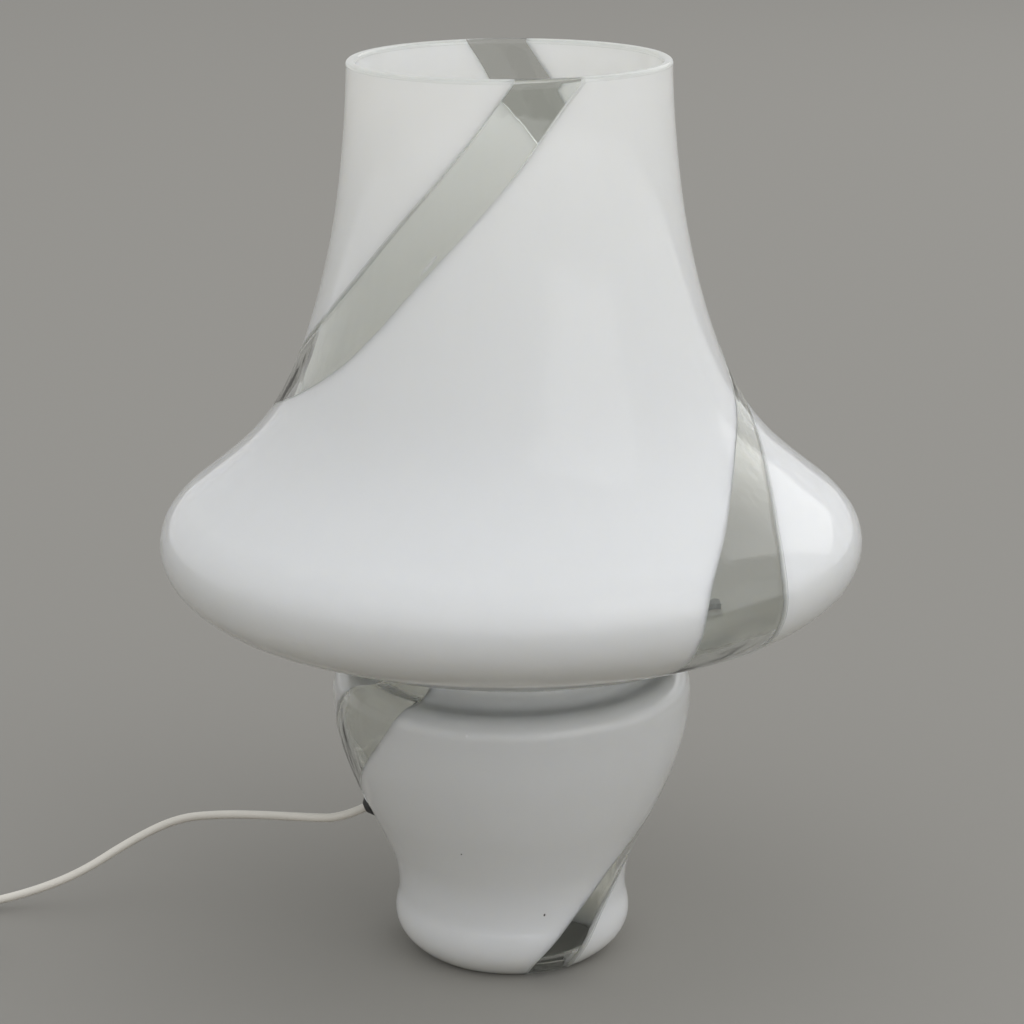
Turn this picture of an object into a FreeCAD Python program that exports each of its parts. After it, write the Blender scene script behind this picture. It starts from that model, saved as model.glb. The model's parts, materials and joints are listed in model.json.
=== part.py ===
import FreeCAD, Part
import math
import os
import Sketcher

# Table lamp blown in one piece of cased glass: foot, baluster base, waist, mushroom cap and open
# chimney. A three-armed carrier rests on the funnel above the waist and holds an E27 lampholder
# with its lamp. The mains cord leaves the base through a grommet and carries a rocker switch, a
# wound coil and a two-pin plug.
#
# Frame: millimetres, +Z up along the glass axis, origin at the middle of the foot's resting face.
# +X is to the right of somebody facing the lamp along +Y; the cord leaves towards -X.

os.makedirs("parts", exist_ok=True)
doc = FreeCAD.newDocument("mushroom_table_lamp")
V = FreeCAD.Vector
X_AXIS = V(1, 0, 0)
Y_AXIS = V(0, 1, 0)
Z_AXIS = V(0, 0, 1)

# Share of the shorter run that the arc at a corner of a cord's path takes.
CORNER_SHARE = 0.45

# ---------------------------------------------------------------------------------------------
# Driving dimensions, in millimetres and degrees
# ---------------------------------------------------------------------------------------------

# The outside of the glass, from the foot to the rim: radius, height and the heading of the
# outline there (0 points away from the axis, 90 points up, 180 points to the axis).
GLASS_STATIONS = {
    "foot_edge": (54.9, 0.0, 28.5),
    "foot_bulge": (70.3, 22.0, 90.0),
    "ankle": (68.0, 38.5, 90.0),
    "flare": (84.9, 88.8, 63.4),
    "shoulder": (105.7, 162.5, 90.0),
    "waist": (80.0, 187.0, 90.0),
    "funnel": (90.2, 198.0, 4.0),
    "underside": (120.0, 201.1, 8.0),
    "brim_low": (176.0, 220.0, 22.9),
    "brim": (203.4, 254.5, 90.0),
    "brim_top": (185.5, 283.3, 142.7),
    "cap_slope": (139.5, 327.0, 126.0),
    "cap_top": (113.0, 385.5, 107.3),
    "chimney": (96.5, 462.0, 97.3),
    "rim": (91.4, 527.25, 91.5),
}

SIZES = {
    # glass
    "glass_wall": 5.5,
    "foot_ring_inner": 48.0,
    "foot_inner_heading": 62.0,
    # cord, its hole and its grommet
    "cord_diameter": 5.2,
    "cord_exit_height": 86.0,
    "cord_hole_radius": 5.0,
    "grommet_fit": 0.15,
    "grommet_dome_radius": 6.8,
    "grommet_dome_height": 4.2,
    "grommet_dome_flat": 3.6,
    "grommet_dome_edge": 1.2,
    "grommet_lip_radius": 5.9,
    "grommet_lip_height": 2.0,
    "grommet_lip_gap": 0.35,
    "grommet_seat_gap": 0.3,
    # three-armed carrier
    "arm_seat_radius": 112.0,
    "arm_width": 12.0,
    "carrier_sheet": 1.5,
    "carrier_hub_radius": 17.0,
    "sleeve_wall": 1.5,
    "sleeve_length": 20.0,
    "seat_gap": 0.3,
    "sleeve_fit": 0.1,
    # threaded nipple, nut and washers
    "nipple_radius": 5.0,
    "nipple_bore": 3.4,
    "nipple_sheath_depth": 2.0,
    "nipple_below_carrier": 19.0,
    "nipple_above_carrier": 8.0,
    "thread_fit": 0.1,
    "washer_radius": 9.0,
    "washer_thickness": 1.0,
    "nut_flats": 14.0,
    "nut_thickness": 4.0,
    # cord grip under the nipple
    "grip_radius": 8.0,
    "grip_length": 17.0,
    "grip_socket_depth": 8.0,
    "grip_screw_radius": 1.5,
    "grip_screw_length": 7.0,
    "grip_screw_height": 4.5,
    # lampholder
    "holder_radius": 20.5,
    "holder_wall": 1.8,
    "holder_cap_height": 25.0,
    "holder_neck_radius": 9.0,
    "holder_neck_height": 5.0,
    "holder_slope": 4.0,
    "skirt_height": 34.0,
    "skirt_mouth_radius": 16.6,
    "insert_radius": 17.5,
    "insert_height": 8.0,
    "insert_bore": 2.0,
    "insert_gap": 0.3,
    "insert_ledge": 2.0,
    "terminal_offset": 10.0,
    "terminal_screw_radius": 1.7,
    "terminal_screw_head": 2.8,
    "terminal_screw_head_height": 1.6,
    "terminal_screw_length": 6.0,
    "screw_shell_wall": 0.5,
    "lamp_thread_radius": 13.2,
    "lamp_thread_depth": 0.8,
    "lamp_thread_pitch": 3.63,
    "lamp_thread_gap": 0.3,
    "tongue_width": 5.0,
    "tongue_sheet": 0.5,
    "tongue_rise": 3.0,
    "tongue_length": 8.0,
    # lamp (bulb)
    "bulb_radius": 30.0,
    "bulb_length": 78.0,
    "bulb_belly_height": 49.0,
    "bulb_neck_radius": 12.2,
    "bulb_neck_overlap": 3.0,
    "bulb_glass": 0.8,
    "lamp_cap_height": 22.0,
    "lamp_cap_wall": 0.4,
    "lamp_insulator_height": 3.5,
    "lamp_insulator_radius": 9.0,
    "lamp_contact_radius": 4.5,
    "lamp_contact_height": 1.5,
    "lamp_contact_gap": 0.1,
    "stem_foot_height": 1.5,
    "stem_cone_height": 10.0,
    "stem_radius": 3.5,
    "stem_height": 33.0,
    "lead_radius": 0.4,
    "lead_spread": 12.0,
    "lead_height": 14.0,
    "filament_radius": 0.5,
    "filament_gap": 0.6,
    # inline switch, measured from the middle of its resting face
    "switch_place_x": -372.0,
    "switch_place_y": -59.0,
    "switch_length": 62.0,
    "switch_width": 28.0,
    "switch_corner": 8.0,
    "switch_base_height": 10.0,
    "switch_cover_height": 10.0,
    "switch_wall": 2.0,
    "switch_cord_depth": 10.0,
    "cord_entry_gap": 0.2,
    "rocker_reach": 10.4,
    "rocker_width": 11.0,
    "rocker_side_gap": 0.4,
    "rocker_crown": 5.0,
    "rocker_pivot_height": 15.0,
    "rocker_foot": 2.6,
    "rocker_stem_reach": 6.0,
    "rocker_stem_radius": 2.4,
    "rocker_tilt": 8.0,
    "rocker_pin_radius": 1.25,
    "rocker_pin_fit": 0.06,
    "rocker_pin_length": 17.0,
    "cheek_length": 6.0,
    "cheek_thickness": 2.6,
    "cheek_below_pivot": 2.0,
    "plunger_radius": 1.0,
    "plunger_length": 3.6,
    "plunger_gap": 0.4,
    "plunger_bore_depth": 4.2,
    "plunger_fit": 0.08,
    "plunger_spring_wall": 0.45,
    "bridge_length": 16.0,
    "bridge_width": 5.0,
    "bridge_sheet": 0.8,
    "bridge_height": 7.0,
    "bridge_tilt": 6.0,
    "bridge_gap": 0.3,
    "switch_terminal_block": 6.0,
    "switch_terminal_place": 12.0,
    "switch_terminal_side": 6.5,
    "terminal_sheet": 0.8,
    "contact_length": 3.0,
    "contact_inset": 1.5,
    "terminal_pinch_radius": 1.4,
    "terminal_pinch_head": 2.2,
    "terminal_pinch_head_height": 1.2,
    "housing_screw_radius": 1.3,
    "housing_screw_head": 2.4,
    "housing_screw_head_height": 1.6,
    "housing_screw_recess": 0.3,
    "housing_screw_place": 25.5,
    "housing_screw_side": 8.5,
    "housing_screw_bite": 6.0,
    "housing_boss_radius": 2.6,
    "clamp_bar_thickness": 2.0,
    "clamp_bar_width": 4.0,
    "clamp_bar_length": 11.4,
    "clamp_gap": 0.1,
    "clamp_post_radius": 1.4,
    "clamp_screw_side": 4.3,
    "clamp_screw_radius": 0.7,
    "clamp_screw_depth": 4.0,
    "wire_radius": 1.0,
    "wire_rise": 5.0,
    "wire_drop": 6.0,
    "wire_straight": 2.6,
    # coil of the put-away length
    "coil_place_x": -352.0,
    "coil_place_y": -165.0,
    "coil_outer_radius": 37.5,
    "coil_pitch": 5.9,
    "coil_layer_rise": 5.9,
    "coil_turns_per_layer": 3.0,
    "cord_floor_gap": 0.15,
    # straight stretches of the cord beside what it meets
    "cord_inner_lead": 22.0,
    "cord_exit_straight": 16.0,
    "cord_entry_straight": 12.0,
    "cord_leave_straight": 8.0,
    "coil_straight": 12.0,
    "plug_straight": 12.5,
    # two-pin plug
    "plug_place_x": -336.0,
    "plug_tail_y": -89.0,
    "plug_axis_height": 7.2,
    "plug_length": 36.0,
    "plug_width": 35.0,
    "plug_nose_width": 26.0,
    "plug_nose_depth": 12.0,
    "plug_thickness": 13.8,
    "relief_length": 28.0,
    "relief_tail_radius": 4.0,
    "relief_head_radius": 6.2,
    "pin_radius": 2.0,
    "pin_length": 19.0,
    "pin_spacing": 18.6,
    "pin_root": 12.0,
    "pin_sleeve_length": 10.0,
    "pin_sleeve_wall": 0.4,
    "pin_fit": 0.05,
}

for name, (radius, height, heading) in GLASS_STATIONS.items():
    SIZES[name + "_radius"] = radius
    SIZES[name + "_height"] = height
    SIZES[name + "_heading"] = heading

sheet = doc.addObject("Spreadsheet::Sheet", "sizes")
for row, (alias, value) in enumerate(SIZES.items(), start=1):
    sheet.set("A%d" % row, alias)
    sheet.set("B%d" % row, str(value))
    sheet.setAlias("B%d" % row, alias)
doc.recompute()


def size(alias):
    """The value that the sheet holds under this alias."""
    return float(sheet.get(alias))


def term(word):
    """The value of one word of a sum: a number or an alias, either of them with a divisor."""
    name, _, divisor = word.partition("/")
    value = size(name) if name in SIZES else float(name)
    return value / float(divisor or 1)


def amount(expression):
    """The value of a sum such as 'holder_cap_height - insert_height/2'."""
    total = 0.0
    sign = 1.0
    for word in expression.split():
        if word in ("+", "-"):
            sign = 1.0 if word == "+" else -1.0
        else:
            total += sign * term(word)
    return total


def bound(expression):
    """The same sum as an expression over the cells of the sheet."""
    words = expression.split()
    return " ".join("sizes." + word if word.partition("/")[0] in SIZES else word for word in words)


# ---------------------------------------------------------------------------------------------
# Outlines and paths
# ---------------------------------------------------------------------------------------------

def arc_through(start, corner, end):
    """The arc that leaves start towards corner and arrives at end coming from corner."""
    middle = (start + end) / 2
    half_chord = (end - start).Length / 2
    side = (corner - start).Length
    turn = math.acos(min(1.0, half_chord / side))
    if turn < 1e-5:
        return Part.LineSegment(start, end).toShape()
    top = middle + (corner - middle) * (math.tan(turn / 2) / math.tan(turn))
    return Part.Arc(start, top, end).toShape()


def biarc(start, start_way, end, end_way):
    """Two tangent arcs from start, leaving along start_way, to end, arriving along end_way."""
    across = end - start
    both = start_way + end_way
    a = 2 * (start_way.dot(end_way) - 1)
    b = -2 * across.dot(both)
    c = across.dot(across)
    reach = -c / b if abs(a) < 1e-9 else (-b - math.sqrt(b * b - 4 * a * c)) / (2 * a)
    first_corner = start + start_way * reach
    last_corner = end - end_way * reach
    joint = (first_corner + last_corner) / 2
    return [arc_through(start, first_corner, joint), arc_through(joint, last_corner, end)]


def way_of(heading):
    """The unit vector in the XZ half plane that has this heading."""
    return V(math.cos(math.radians(heading)), 0, math.sin(math.radians(heading)))


def outline_through(stations):
    """Tangent arcs through stations of (radius, height, heading)."""
    edges = []
    for (r0, z0, way0), (r1, z1, way1) in zip(stations, stations[1:]):
        edges += biarc(V(r0, 0, z0), way_of(way0), V(r1, 0, z1), way_of(way1))
    return edges


def set_in(station, wall):
    """The station moved by the wall's thickness towards the hollow."""
    radius, height, heading = station
    inward = V(0, -1, 0).cross(way_of(heading))
    return (radius + inward.x * wall, height + inward.z * wall, heading)


def turned_face(edges):
    """The solid that an outline in the XZ half plane sweeps round the Z axis."""
    ordered = Part.__sortEdges__(edges)
    return Part.Face(Part.Wire(ordered)).revolve(V(0, 0, 0), Z_AXIS, 360)


def rounded_path(points):
    """Straight runs joined by tangent arcs as large as the runs allow, and the arcs' radii."""
    corners = [V(*point) for point in points]
    edges = []
    radii = []
    at = corners[0]
    for before, corner, after in zip(corners, corners[1:], corners[2:]):
        back = before - corner
        ahead = after - corner
        cut_back = CORNER_SHARE * min(back.Length, ahead.Length)
        turn = math.pi - back.getAngle(ahead)
        radii.append(cut_back / math.tan(turn / 2))
        start = corner + back.normalize() * cut_back
        end = corner + ahead.normalize() * cut_back
        edges.append(Part.LineSegment(at, start).toShape())
        edges.append(arc_through(start, corner, end))
        at = end
    edges.append(Part.LineSegment(at, corners[-1]).toShape())
    return edges, radii


def tube_shape(edges, radius):
    """The solid of a round section carried along edges."""
    path = Part.Wire(edges)
    start = edges[0].valueAt(edges[0].FirstParameter)
    way = edges[0].tangentAt(edges[0].FirstParameter)
    ring = Part.Wire(Part.Circle(start, way, radius).toShape())
    return path.makePipeShell([ring], True, False)


# ---------------------------------------------------------------------------------------------
# Document objects
# ---------------------------------------------------------------------------------------------

NODES = []


def place(x=0.0, y=0.0, z=0.0, axis=Z_AXIS, angle=0.0):
    """A placement from a position and a turn about an axis."""
    return FreeCAD.Placement(V(x, y, z), FreeCAD.Rotation(axis, angle))


def node(piece, label, placement=None):
    """Names a piece as one node of the lamp and puts it in its place."""
    piece.Label = label
    if placement is not None:
        piece.Placement = placement
    NODES.append(piece)
    return piece


def shaped(label, shape, placement=None):
    """A node whose shape is worked out by this file from the sheet's sizes."""
    feature = doc.addObject("Part::Feature", label)
    feature.Shape = shape
    return node(feature, label, placement)


def primitive(kind, sizes_of, placement=None):
    """A Part primitive whose sizes are sums of cells."""
    piece = doc.addObject("Part::" + kind, kind.lower())
    for name, expression in sizes_of.items():
        piece.setExpression(name, bound(expression))
    if placement is not None:
        piece.Placement = placement
    doc.recompute()
    return piece


def cylinder(radius, height, placement=None):
    return primitive("Cylinder", {"Radius": radius, "Height": height}, placement)


def box(length, width, height, placement=None):
    return primitive("Box", {"Length": length, "Width": width, "Height": height}, placement)


def cut(base, *tools):
    """The base with every tool taken out of it."""
    for tool in tools:
        result = doc.addObject("Part::Cut", "cut")
        result.Base = base
        result.Tool = tool
        base = result
    return base


def fuse(*pieces):
    result = doc.addObject("Part::MultiFuse", "fuse")
    result.Shapes = list(pieces)
    return result


def group(*pieces):
    """Separate solids that share one node."""
    result = doc.addObject("Part::Compound", "group")
    result.Links = list(pieces)
    return result


def rounded_box(length, width, height, corner, placement):
    """A block with its four upright edges rounded, standing on its middle."""
    block = box(length, width, height)
    upright = [i for i, edge in enumerate(block.Shape.Edges, start=1)
               if abs(edge.tangentAt(edge.FirstParameter).z) > 0.99]
    rounded = doc.addObject("Part::Fillet", "rounded")
    rounded.Base = block
    rounded.Edges = [(i, corner, corner) for i in upright]
    rounded.Placement = place(-amount(length) / 2, -amount(width) / 2).multiply(placement)
    return rounded


def sketch_on(body, role, name):
    """A sketch on one of the body's own origin planes."""
    sketch = body.newObject("Sketcher::SketchObject", name)
    plane = [feature for feature in body.Origin.OriginFeatures if feature.Role == role][0]
    sketch.AttachmentSupport = [(plane, "")]
    sketch.MapMode = "FlatFace"
    return sketch


def draw_outline(sketch, corners):
    """A closed outline of straight lines, every corner held by two bound distances."""
    points = [V(amount(x), amount(y), 0) for x, y in corners]
    for start, end in zip(points, points[1:] + points[:1]):
        sketch.addGeometry(Part.LineSegment(start, end))
    for line in range(len(points)):
        following = (line + 1) % len(points)
        sketch.addConstraint(Sketcher.Constraint("Coincident", line, 2, following, 1))
    for line, (x, y) in enumerate(corners):
        for kind, expression, axis in (("DistanceX", x, -2), ("DistanceY", y, -1)):
            if expression == "0":
                sketch.addConstraint(Sketcher.Constraint("PointOnObject", line, 1, axis))
                continue
            distance = Sketcher.Constraint(kind, -1, 1, line, 1, amount(expression))
            number = sketch.addConstraint(distance)
            sketch.setExpression("Constraints[%d]" % number, bound(expression))


def turned(label, outline, placement=None):
    """A body turned about Z from corners of (radius, height)."""
    body = doc.addObject("PartDesign::Body", label)
    sketch = sketch_on(body, "XZ_Plane", label + "_outline")
    draw_outline(sketch, outline)
    turning = body.newObject("PartDesign::Revolution", label + "_turning")
    turning.Profile = sketch
    turning.ReferenceAxis = (sketch, ["V_Axis"])
    turning.Angle = 360
    doc.recompute()
    if placement is not None:
        body.Placement = placement
    return body


def ring(label, inner, outer, height, placement=None):
    """A turned tube or washer."""
    outline = [(inner, "0"), (outer, "0"), (outer, height), (inner, height)]
    return turned(label, outline, placement)


def padded_outline(label, role, outline, depth):
    """A body made by padding an outline that is drawn on an origin plane."""
    body = doc.addObject("PartDesign::Body", label)
    sketch = sketch_on(body, role, label + "_outline")
    draw_outline(sketch, outline)
    pad = body.newObject("PartDesign::Pad", label + "_pad")
    pad.Profile = sketch
    pad.setExpression("Length", bound(depth))
    doc.recompute()
    return body


# ---------------------------------------------------------------------------------------------
# Glass body: one blown wall from the ground foot ring to the rounded rim
# ---------------------------------------------------------------------------------------------

def crossing(edges, line):
    """Where a line meets the outline, and the outline's direction there."""
    for edge in edges:
        distance, pairs, _ = edge.distToShape(line)
        if distance < 1e-6:
            point = pairs[0][0]
            return point, edge.tangentAt(edge.Curve.parameter(point))
    raise ValueError("the line misses the outline")


wall = size("glass_wall")
stations = [tuple(size(name + ending) for ending in ("_radius", "_height", "_heading"))
            for name in GLASS_STATIONS]
foot_start = (size("foot_ring_inner"), 0.0, size("foot_inner_heading"))
outside = outline_through(stations)
inside = outline_through([foot_start] + [set_in(station, wall) for station in stations[1:]])

rim_outer = outside[-1].valueAt(outside[-1].LastParameter)
rim_inner = inside[-1].valueAt(inside[-1].LastParameter)
rim_top = (rim_outer + rim_inner) / 2 + way_of(size("rim_heading")) * (wall / 2)
lip = Part.Arc(rim_outer, rim_top, rim_inner).toShape()
foot_ring = Part.makeLine(V(size("foot_ring_inner"), 0, 0), V(size("foot_edge_radius"), 0, 0))

exit_line = Part.makeLine(V(0, 0, size("cord_exit_height")),
                          V(2 * size("shoulder_radius"), 0, size("cord_exit_height")))
wall_point, wall_way = crossing(outside, exit_line)
exit_point = V(-wall_point.x, 0, wall_point.z)
exit_way = V(-wall_way.z, 0, -wall_way.x)
exit_turn = FreeCAD.Rotation(Z_AXIS, exit_way)
print("cord exit at (%.2f, 0, %.2f), heading (%.4f, 0, %.4f)"
      % (exit_point.x, exit_point.z, exit_way.x, exit_way.z))


def on_exit_axis(distance):
    """A place on the cord hole's axis, measured outwards from the glass surface."""
    return FreeCAD.Placement(exit_point + exit_way * distance, exit_turn)


glass_blank = doc.addObject("Part::Feature", "glass_blank")
glass_blank.Shape = turned_face(outside + inside + [lip, foot_ring])
cord_hole = cylinder("cord_hole_radius", "glass_wall + glass_wall + glass_wall",
                     on_exit_axis(-2 * wall))
node(cut(glass_blank, cord_hole), "glass_body")

# ---------------------------------------------------------------------------------------------
# Cord grommet: dome outside, neck through the hole, lip inside
# ---------------------------------------------------------------------------------------------

CORD_BORE = "cord_diameter/2 + cord_entry_gap"
grommet_bore = "cord_diameter/2 + grommet_fit"
dome_foot = "grommet_lip_height + grommet_lip_gap + glass_wall + grommet_seat_gap"
grommet = turned("grommet_turned", [
    (grommet_bore, "0"),
    ("grommet_lip_radius", "0"),
    ("grommet_lip_radius", "grommet_lip_height"),
    ("cord_hole_radius - grommet_fit", "grommet_lip_height"),
    ("cord_hole_radius - grommet_fit", dome_foot),
    ("grommet_dome_radius", dome_foot),
    ("grommet_dome_radius", dome_foot + " + grommet_dome_edge"),
    ("grommet_dome_flat", dome_foot + " + grommet_dome_height"),
    (grommet_bore, dome_foot + " + grommet_dome_height"),
])
node(grommet, "cord_grommet", on_exit_axis(amount("grommet_seat_gap") - amount(dome_foot)))

# ---------------------------------------------------------------------------------------------
# Three-armed carrier: its sleeved arms rest on the funnel above the waist
# ---------------------------------------------------------------------------------------------

ARMS = 3
seat_reach = amount("arm_seat_radius + sleeve_length/2")
seat_line = Part.makeLine(V(seat_reach, 0, size("waist_height")),
                          V(seat_reach, 0, size("brim_height")))
seat_point, _ = crossing(inside, seat_line)
sleeve_bottom = seat_point.z + size("seat_gap")
carrier_bottom = sleeve_bottom + amount("sleeve_wall + sleeve_fit")
carrier_top = carrier_bottom + size("carrier_sheet")

carrier = ring("carrier_pressed", "nipple_radius + thread_fit", "carrier_hub_radius",
               "carrier_sheet")
arm_sketch = sketch_on(carrier, "XY_Plane", "arm_outline")
arm_end = "arm_seat_radius + sleeve_length/2 - sleeve_wall - sleeve_fit"
draw_outline(arm_sketch, [
    ("carrier_hub_radius/2", "0 - arm_width/2"),
    (arm_end, "0 - arm_width/2"),
    (arm_end, "arm_width/2"),
    ("carrier_hub_radius/2", "arm_width/2"),
])
arm = carrier.newObject("PartDesign::Pad", "arm")
arm.Profile = arm_sketch
arm.setExpression("Length", bound("carrier_sheet"))
doc.recompute()
arms = carrier.newObject("PartDesign::PolarPattern", "arms")
arms.Originals = [arm]
arms.Axis = (arm_sketch, ["N_Axis"])
arms.Angle = 360
arms.Occurrences = ARMS
carrier.Tip = arms
node(carrier, "lamp_carrier", place(z=carrier_bottom))

around = " + sleeve_wall + sleeve_wall + sleeve_fit + sleeve_fit"
sleeves = []
for arm_number in range(ARMS):
    turn = place(angle=360.0 / ARMS * arm_number)
    outer_start = place(amount("arm_seat_radius - sleeve_length/2"),
                        -amount("arm_width" + around) / 2, sleeve_bottom)
    pocket_start = place(amount("arm_seat_radius - sleeve_length/2"),
                         -amount("arm_width + sleeve_fit + sleeve_fit") / 2,
                         sleeve_bottom + size("sleeve_wall"))
    outer = box("sleeve_length", "arm_width" + around, "carrier_sheet" + around,
                turn.multiply(outer_start))
    pocket = box("sleeve_length - sleeve_wall", "arm_width + sleeve_fit + sleeve_fit",
                 "carrier_sheet + sleeve_fit + sleeve_fit", turn.multiply(pocket_start))
    sleeves.append(cut(outer, pocket))
node(group(*sleeves), "carrier_sleeves")

# ---------------------------------------------------------------------------------------------
# Threaded nipple with its nut and washer, and the cord grip under it
# ---------------------------------------------------------------------------------------------

nipple_bottom = carrier_bottom - size("nipple_below_carrier")
nipple_length = "nipple_below_carrier + carrier_sheet + nipple_above_carrier"
THREAD_BORE = "nipple_radius + thread_fit"
node(ring("nipple", "nipple_bore", "nipple_radius", nipple_length), "threaded_nipple",
     place(z=nipple_bottom))

washer_bottom = carrier_bottom - size("washer_thickness")
node(ring("washer", THREAD_BORE, "washer_radius", "washer_thickness"), "nipple_washer",
     place(z=washer_bottom))

nut_bottom = washer_bottom - size("nut_thickness")
nut_corner_share = math.sqrt(3)
nut_blank = primitive("Prism", {"Circumradius": "nut_flats/%.6f" % nut_corner_share,
                                "Height": "nut_thickness"}, place(z=nut_bottom))
nut_hole = cylinder(THREAD_BORE, "nut_thickness", place(z=nut_bottom))
node(cut(nut_blank, nut_hole), "nipple_nut")

grip_bottom = nipple_bottom - amount("grip_length - grip_socket_depth")
grip_floor = "grip_length - grip_socket_depth"
grip_turned = turned("grip_turned", [
    (CORD_BORE, "0"),
    ("grip_radius", "0"),
    ("grip_radius", "grip_length"),
    (THREAD_BORE, "grip_length"),
    (THREAD_BORE, grip_floor),
    (CORD_BORE, grip_floor),
], place(z=grip_bottom))
screw_height = grip_bottom + size("grip_screw_height")
grip_screw_hole = cylinder("grip_screw_radius + thread_fit", "grip_radius",
                           place(amount("cord_diameter/2"), 0, screw_height, Y_AXIS, 90))
node(cut(grip_turned, grip_screw_hole), "cord_grip")
node(cylinder("grip_screw_radius", "grip_screw_length"), "cord_grip_screw",
     place(amount(CORD_BORE), 0, screw_height, Y_AXIS, 90))

# ---------------------------------------------------------------------------------------------
# E27 lampholder, standing on the carrier
# ---------------------------------------------------------------------------------------------

holder_bottom = carrier_top
LEDGE = "holder_cap_height - insert_height/2"
seat_bore = "insert_radius + insert_gap"
cap_bore = "insert_radius - insert_ledge"
cap_floor = "holder_neck_height + holder_wall"
cap_slope_top = "holder_neck_height + holder_slope"
node(turned("holder_cap_turned", [
    (THREAD_BORE, "0"),
    ("holder_neck_radius", "0"),
    ("holder_neck_radius", "holder_neck_height"),
    ("holder_radius", cap_slope_top),
    ("holder_radius", "holder_cap_height"),
    (seat_bore, "holder_cap_height"),
    (seat_bore, LEDGE),
    (cap_bore, LEDGE),
    (cap_bore, cap_slope_top + " + holder_wall"),
    ("holder_neck_radius", cap_floor),
    (THREAD_BORE, cap_floor),
]), "holder_cap", place(z=holder_bottom))

insert_bottom = holder_bottom + amount(LEDGE)
insert_top = insert_bottom + size("insert_height")
insert_place = place(z=insert_bottom)
holes = [cylinder("insert_bore", "insert_height", insert_place)]
screws = []
for side in (-1, 1):
    across = side * size("terminal_offset")
    holes.append(cylinder("terminal_screw_radius + thread_fit", "insert_height",
                          place(across, 0, insert_bottom)))
    screws.append(turned("terminal_screw_%d" % (side + 2), [
        ("0", "0"),
        ("terminal_screw_head", "0"),
        ("terminal_screw_head", "terminal_screw_head_height"),
        ("terminal_screw_radius", "terminal_screw_head_height"),
        ("terminal_screw_radius", "terminal_screw_head_height + terminal_screw_length"),
        ("0", "terminal_screw_head_height + terminal_screw_length"),
    ], place(across, 0, insert_bottom - size("terminal_screw_head_height"))))
node(cut(cylinder("insert_radius", "insert_height", insert_place), *holes), "holder_insert")
node(group(*screws), "holder_terminal_screws")

skirt_bottom = holder_bottom + amount("holder_cap_height + insert_gap")
node(turned("skirt_turned", [
    (seat_bore, "0"),
    ("holder_radius", "0"),
    ("holder_radius", "skirt_height"),
    ("skirt_mouth_radius", "skirt_height"),
    ("skirt_mouth_radius", "insert_height/2"),
    (seat_bore, "insert_height/2"),
]), "holder_skirt", place(z=skirt_bottom))

tongue_root = place(amount("tongue_width/2 - tongue_length"), amount("tongue_width/2"), insert_top)
tongue = padded_outline("tongue_bent", "XZ_Plane", [
    ("0", "0"),
    ("tongue_length/2", "0"),
    ("tongue_length", "tongue_rise - tongue_sheet"),
    ("tongue_length", "tongue_rise"),
    ("tongue_length/2", "tongue_sheet"),
    ("0", "tongue_sheet"),
], "tongue_width")
node(tongue, "holder_centre_tongue", tongue_root)

# ---------------------------------------------------------------------------------------------
# Screw shell and lamp cap share one thread form, a running gap apart
# ---------------------------------------------------------------------------------------------

SHELL_TURNS = 3
CAP_TURNS = 5
contact_bottom = insert_top + amount("tongue_rise + lamp_contact_gap")
lamp_base = contact_bottom + amount("lamp_contact_height + lamp_insulator_height")


def thread_form(turns, outward):
    """Corners of (radius, height) up a thread, moved outward, from the lamp cap's lower edge."""
    crest = size("lamp_thread_radius") + outward
    root = crest - size("lamp_thread_depth")
    pitch = size("lamp_thread_pitch")
    corners = [(root, 0.0)]
    for number in range(turns):
        corners.append((crest, (number + 0.5) * pitch))
        corners.append((root, (number + 1.0) * pitch))
    return corners


def sheet_metal(corners, thickness):
    """A turned sheet whose inner side follows the corners."""
    outer = [(radius + thickness, height) for radius, height in reversed(corners)]
    points = [V(radius, 0, height) for radius, height in corners + outer]
    return Part.Face(Part.makePolygon(points + points[:1])).revolve(V(0, 0, 0), Z_AXIS, 360)


shell_corners = thread_form(SHELL_TURNS, size("lamp_thread_gap"))
shell_foot = (shell_corners[0][0], insert_top - lamp_base)
shaped("holder_screw_shell", sheet_metal([shell_foot] + shell_corners, size("screw_shell_wall")),
       place(z=lamp_base))

cap_corners = thread_form(CAP_TURNS, -size("lamp_cap_wall"))
collar = (amount("lamp_thread_radius - lamp_cap_wall"), size("lamp_cap_height"))
collar_foot = (collar[0], cap_corners[-1][1] + amount("lamp_thread_pitch/4"))
shaped("bulb_screw_cap", sheet_metal(cap_corners + [collar_foot, collar], size("lamp_cap_wall")),
       place(z=lamp_base))

# ---------------------------------------------------------------------------------------------
# Lamp: glass bulb, insulator, contact, stem, leads and filament
# ---------------------------------------------------------------------------------------------

node(turned("insulator_turned", [
    ("0", "0"),
    ("lamp_insulator_radius", "0"),
    ("lamp_thread_radius - lamp_thread_depth", "lamp_insulator_height"),
    ("0", "lamp_insulator_height"),
]), "bulb_insulator", place(z=lamp_base - size("lamp_insulator_height")))
node(cylinder("lamp_contact_radius", "lamp_contact_height"), "bulb_centre_contact",
     place(z=contact_bottom))

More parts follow.
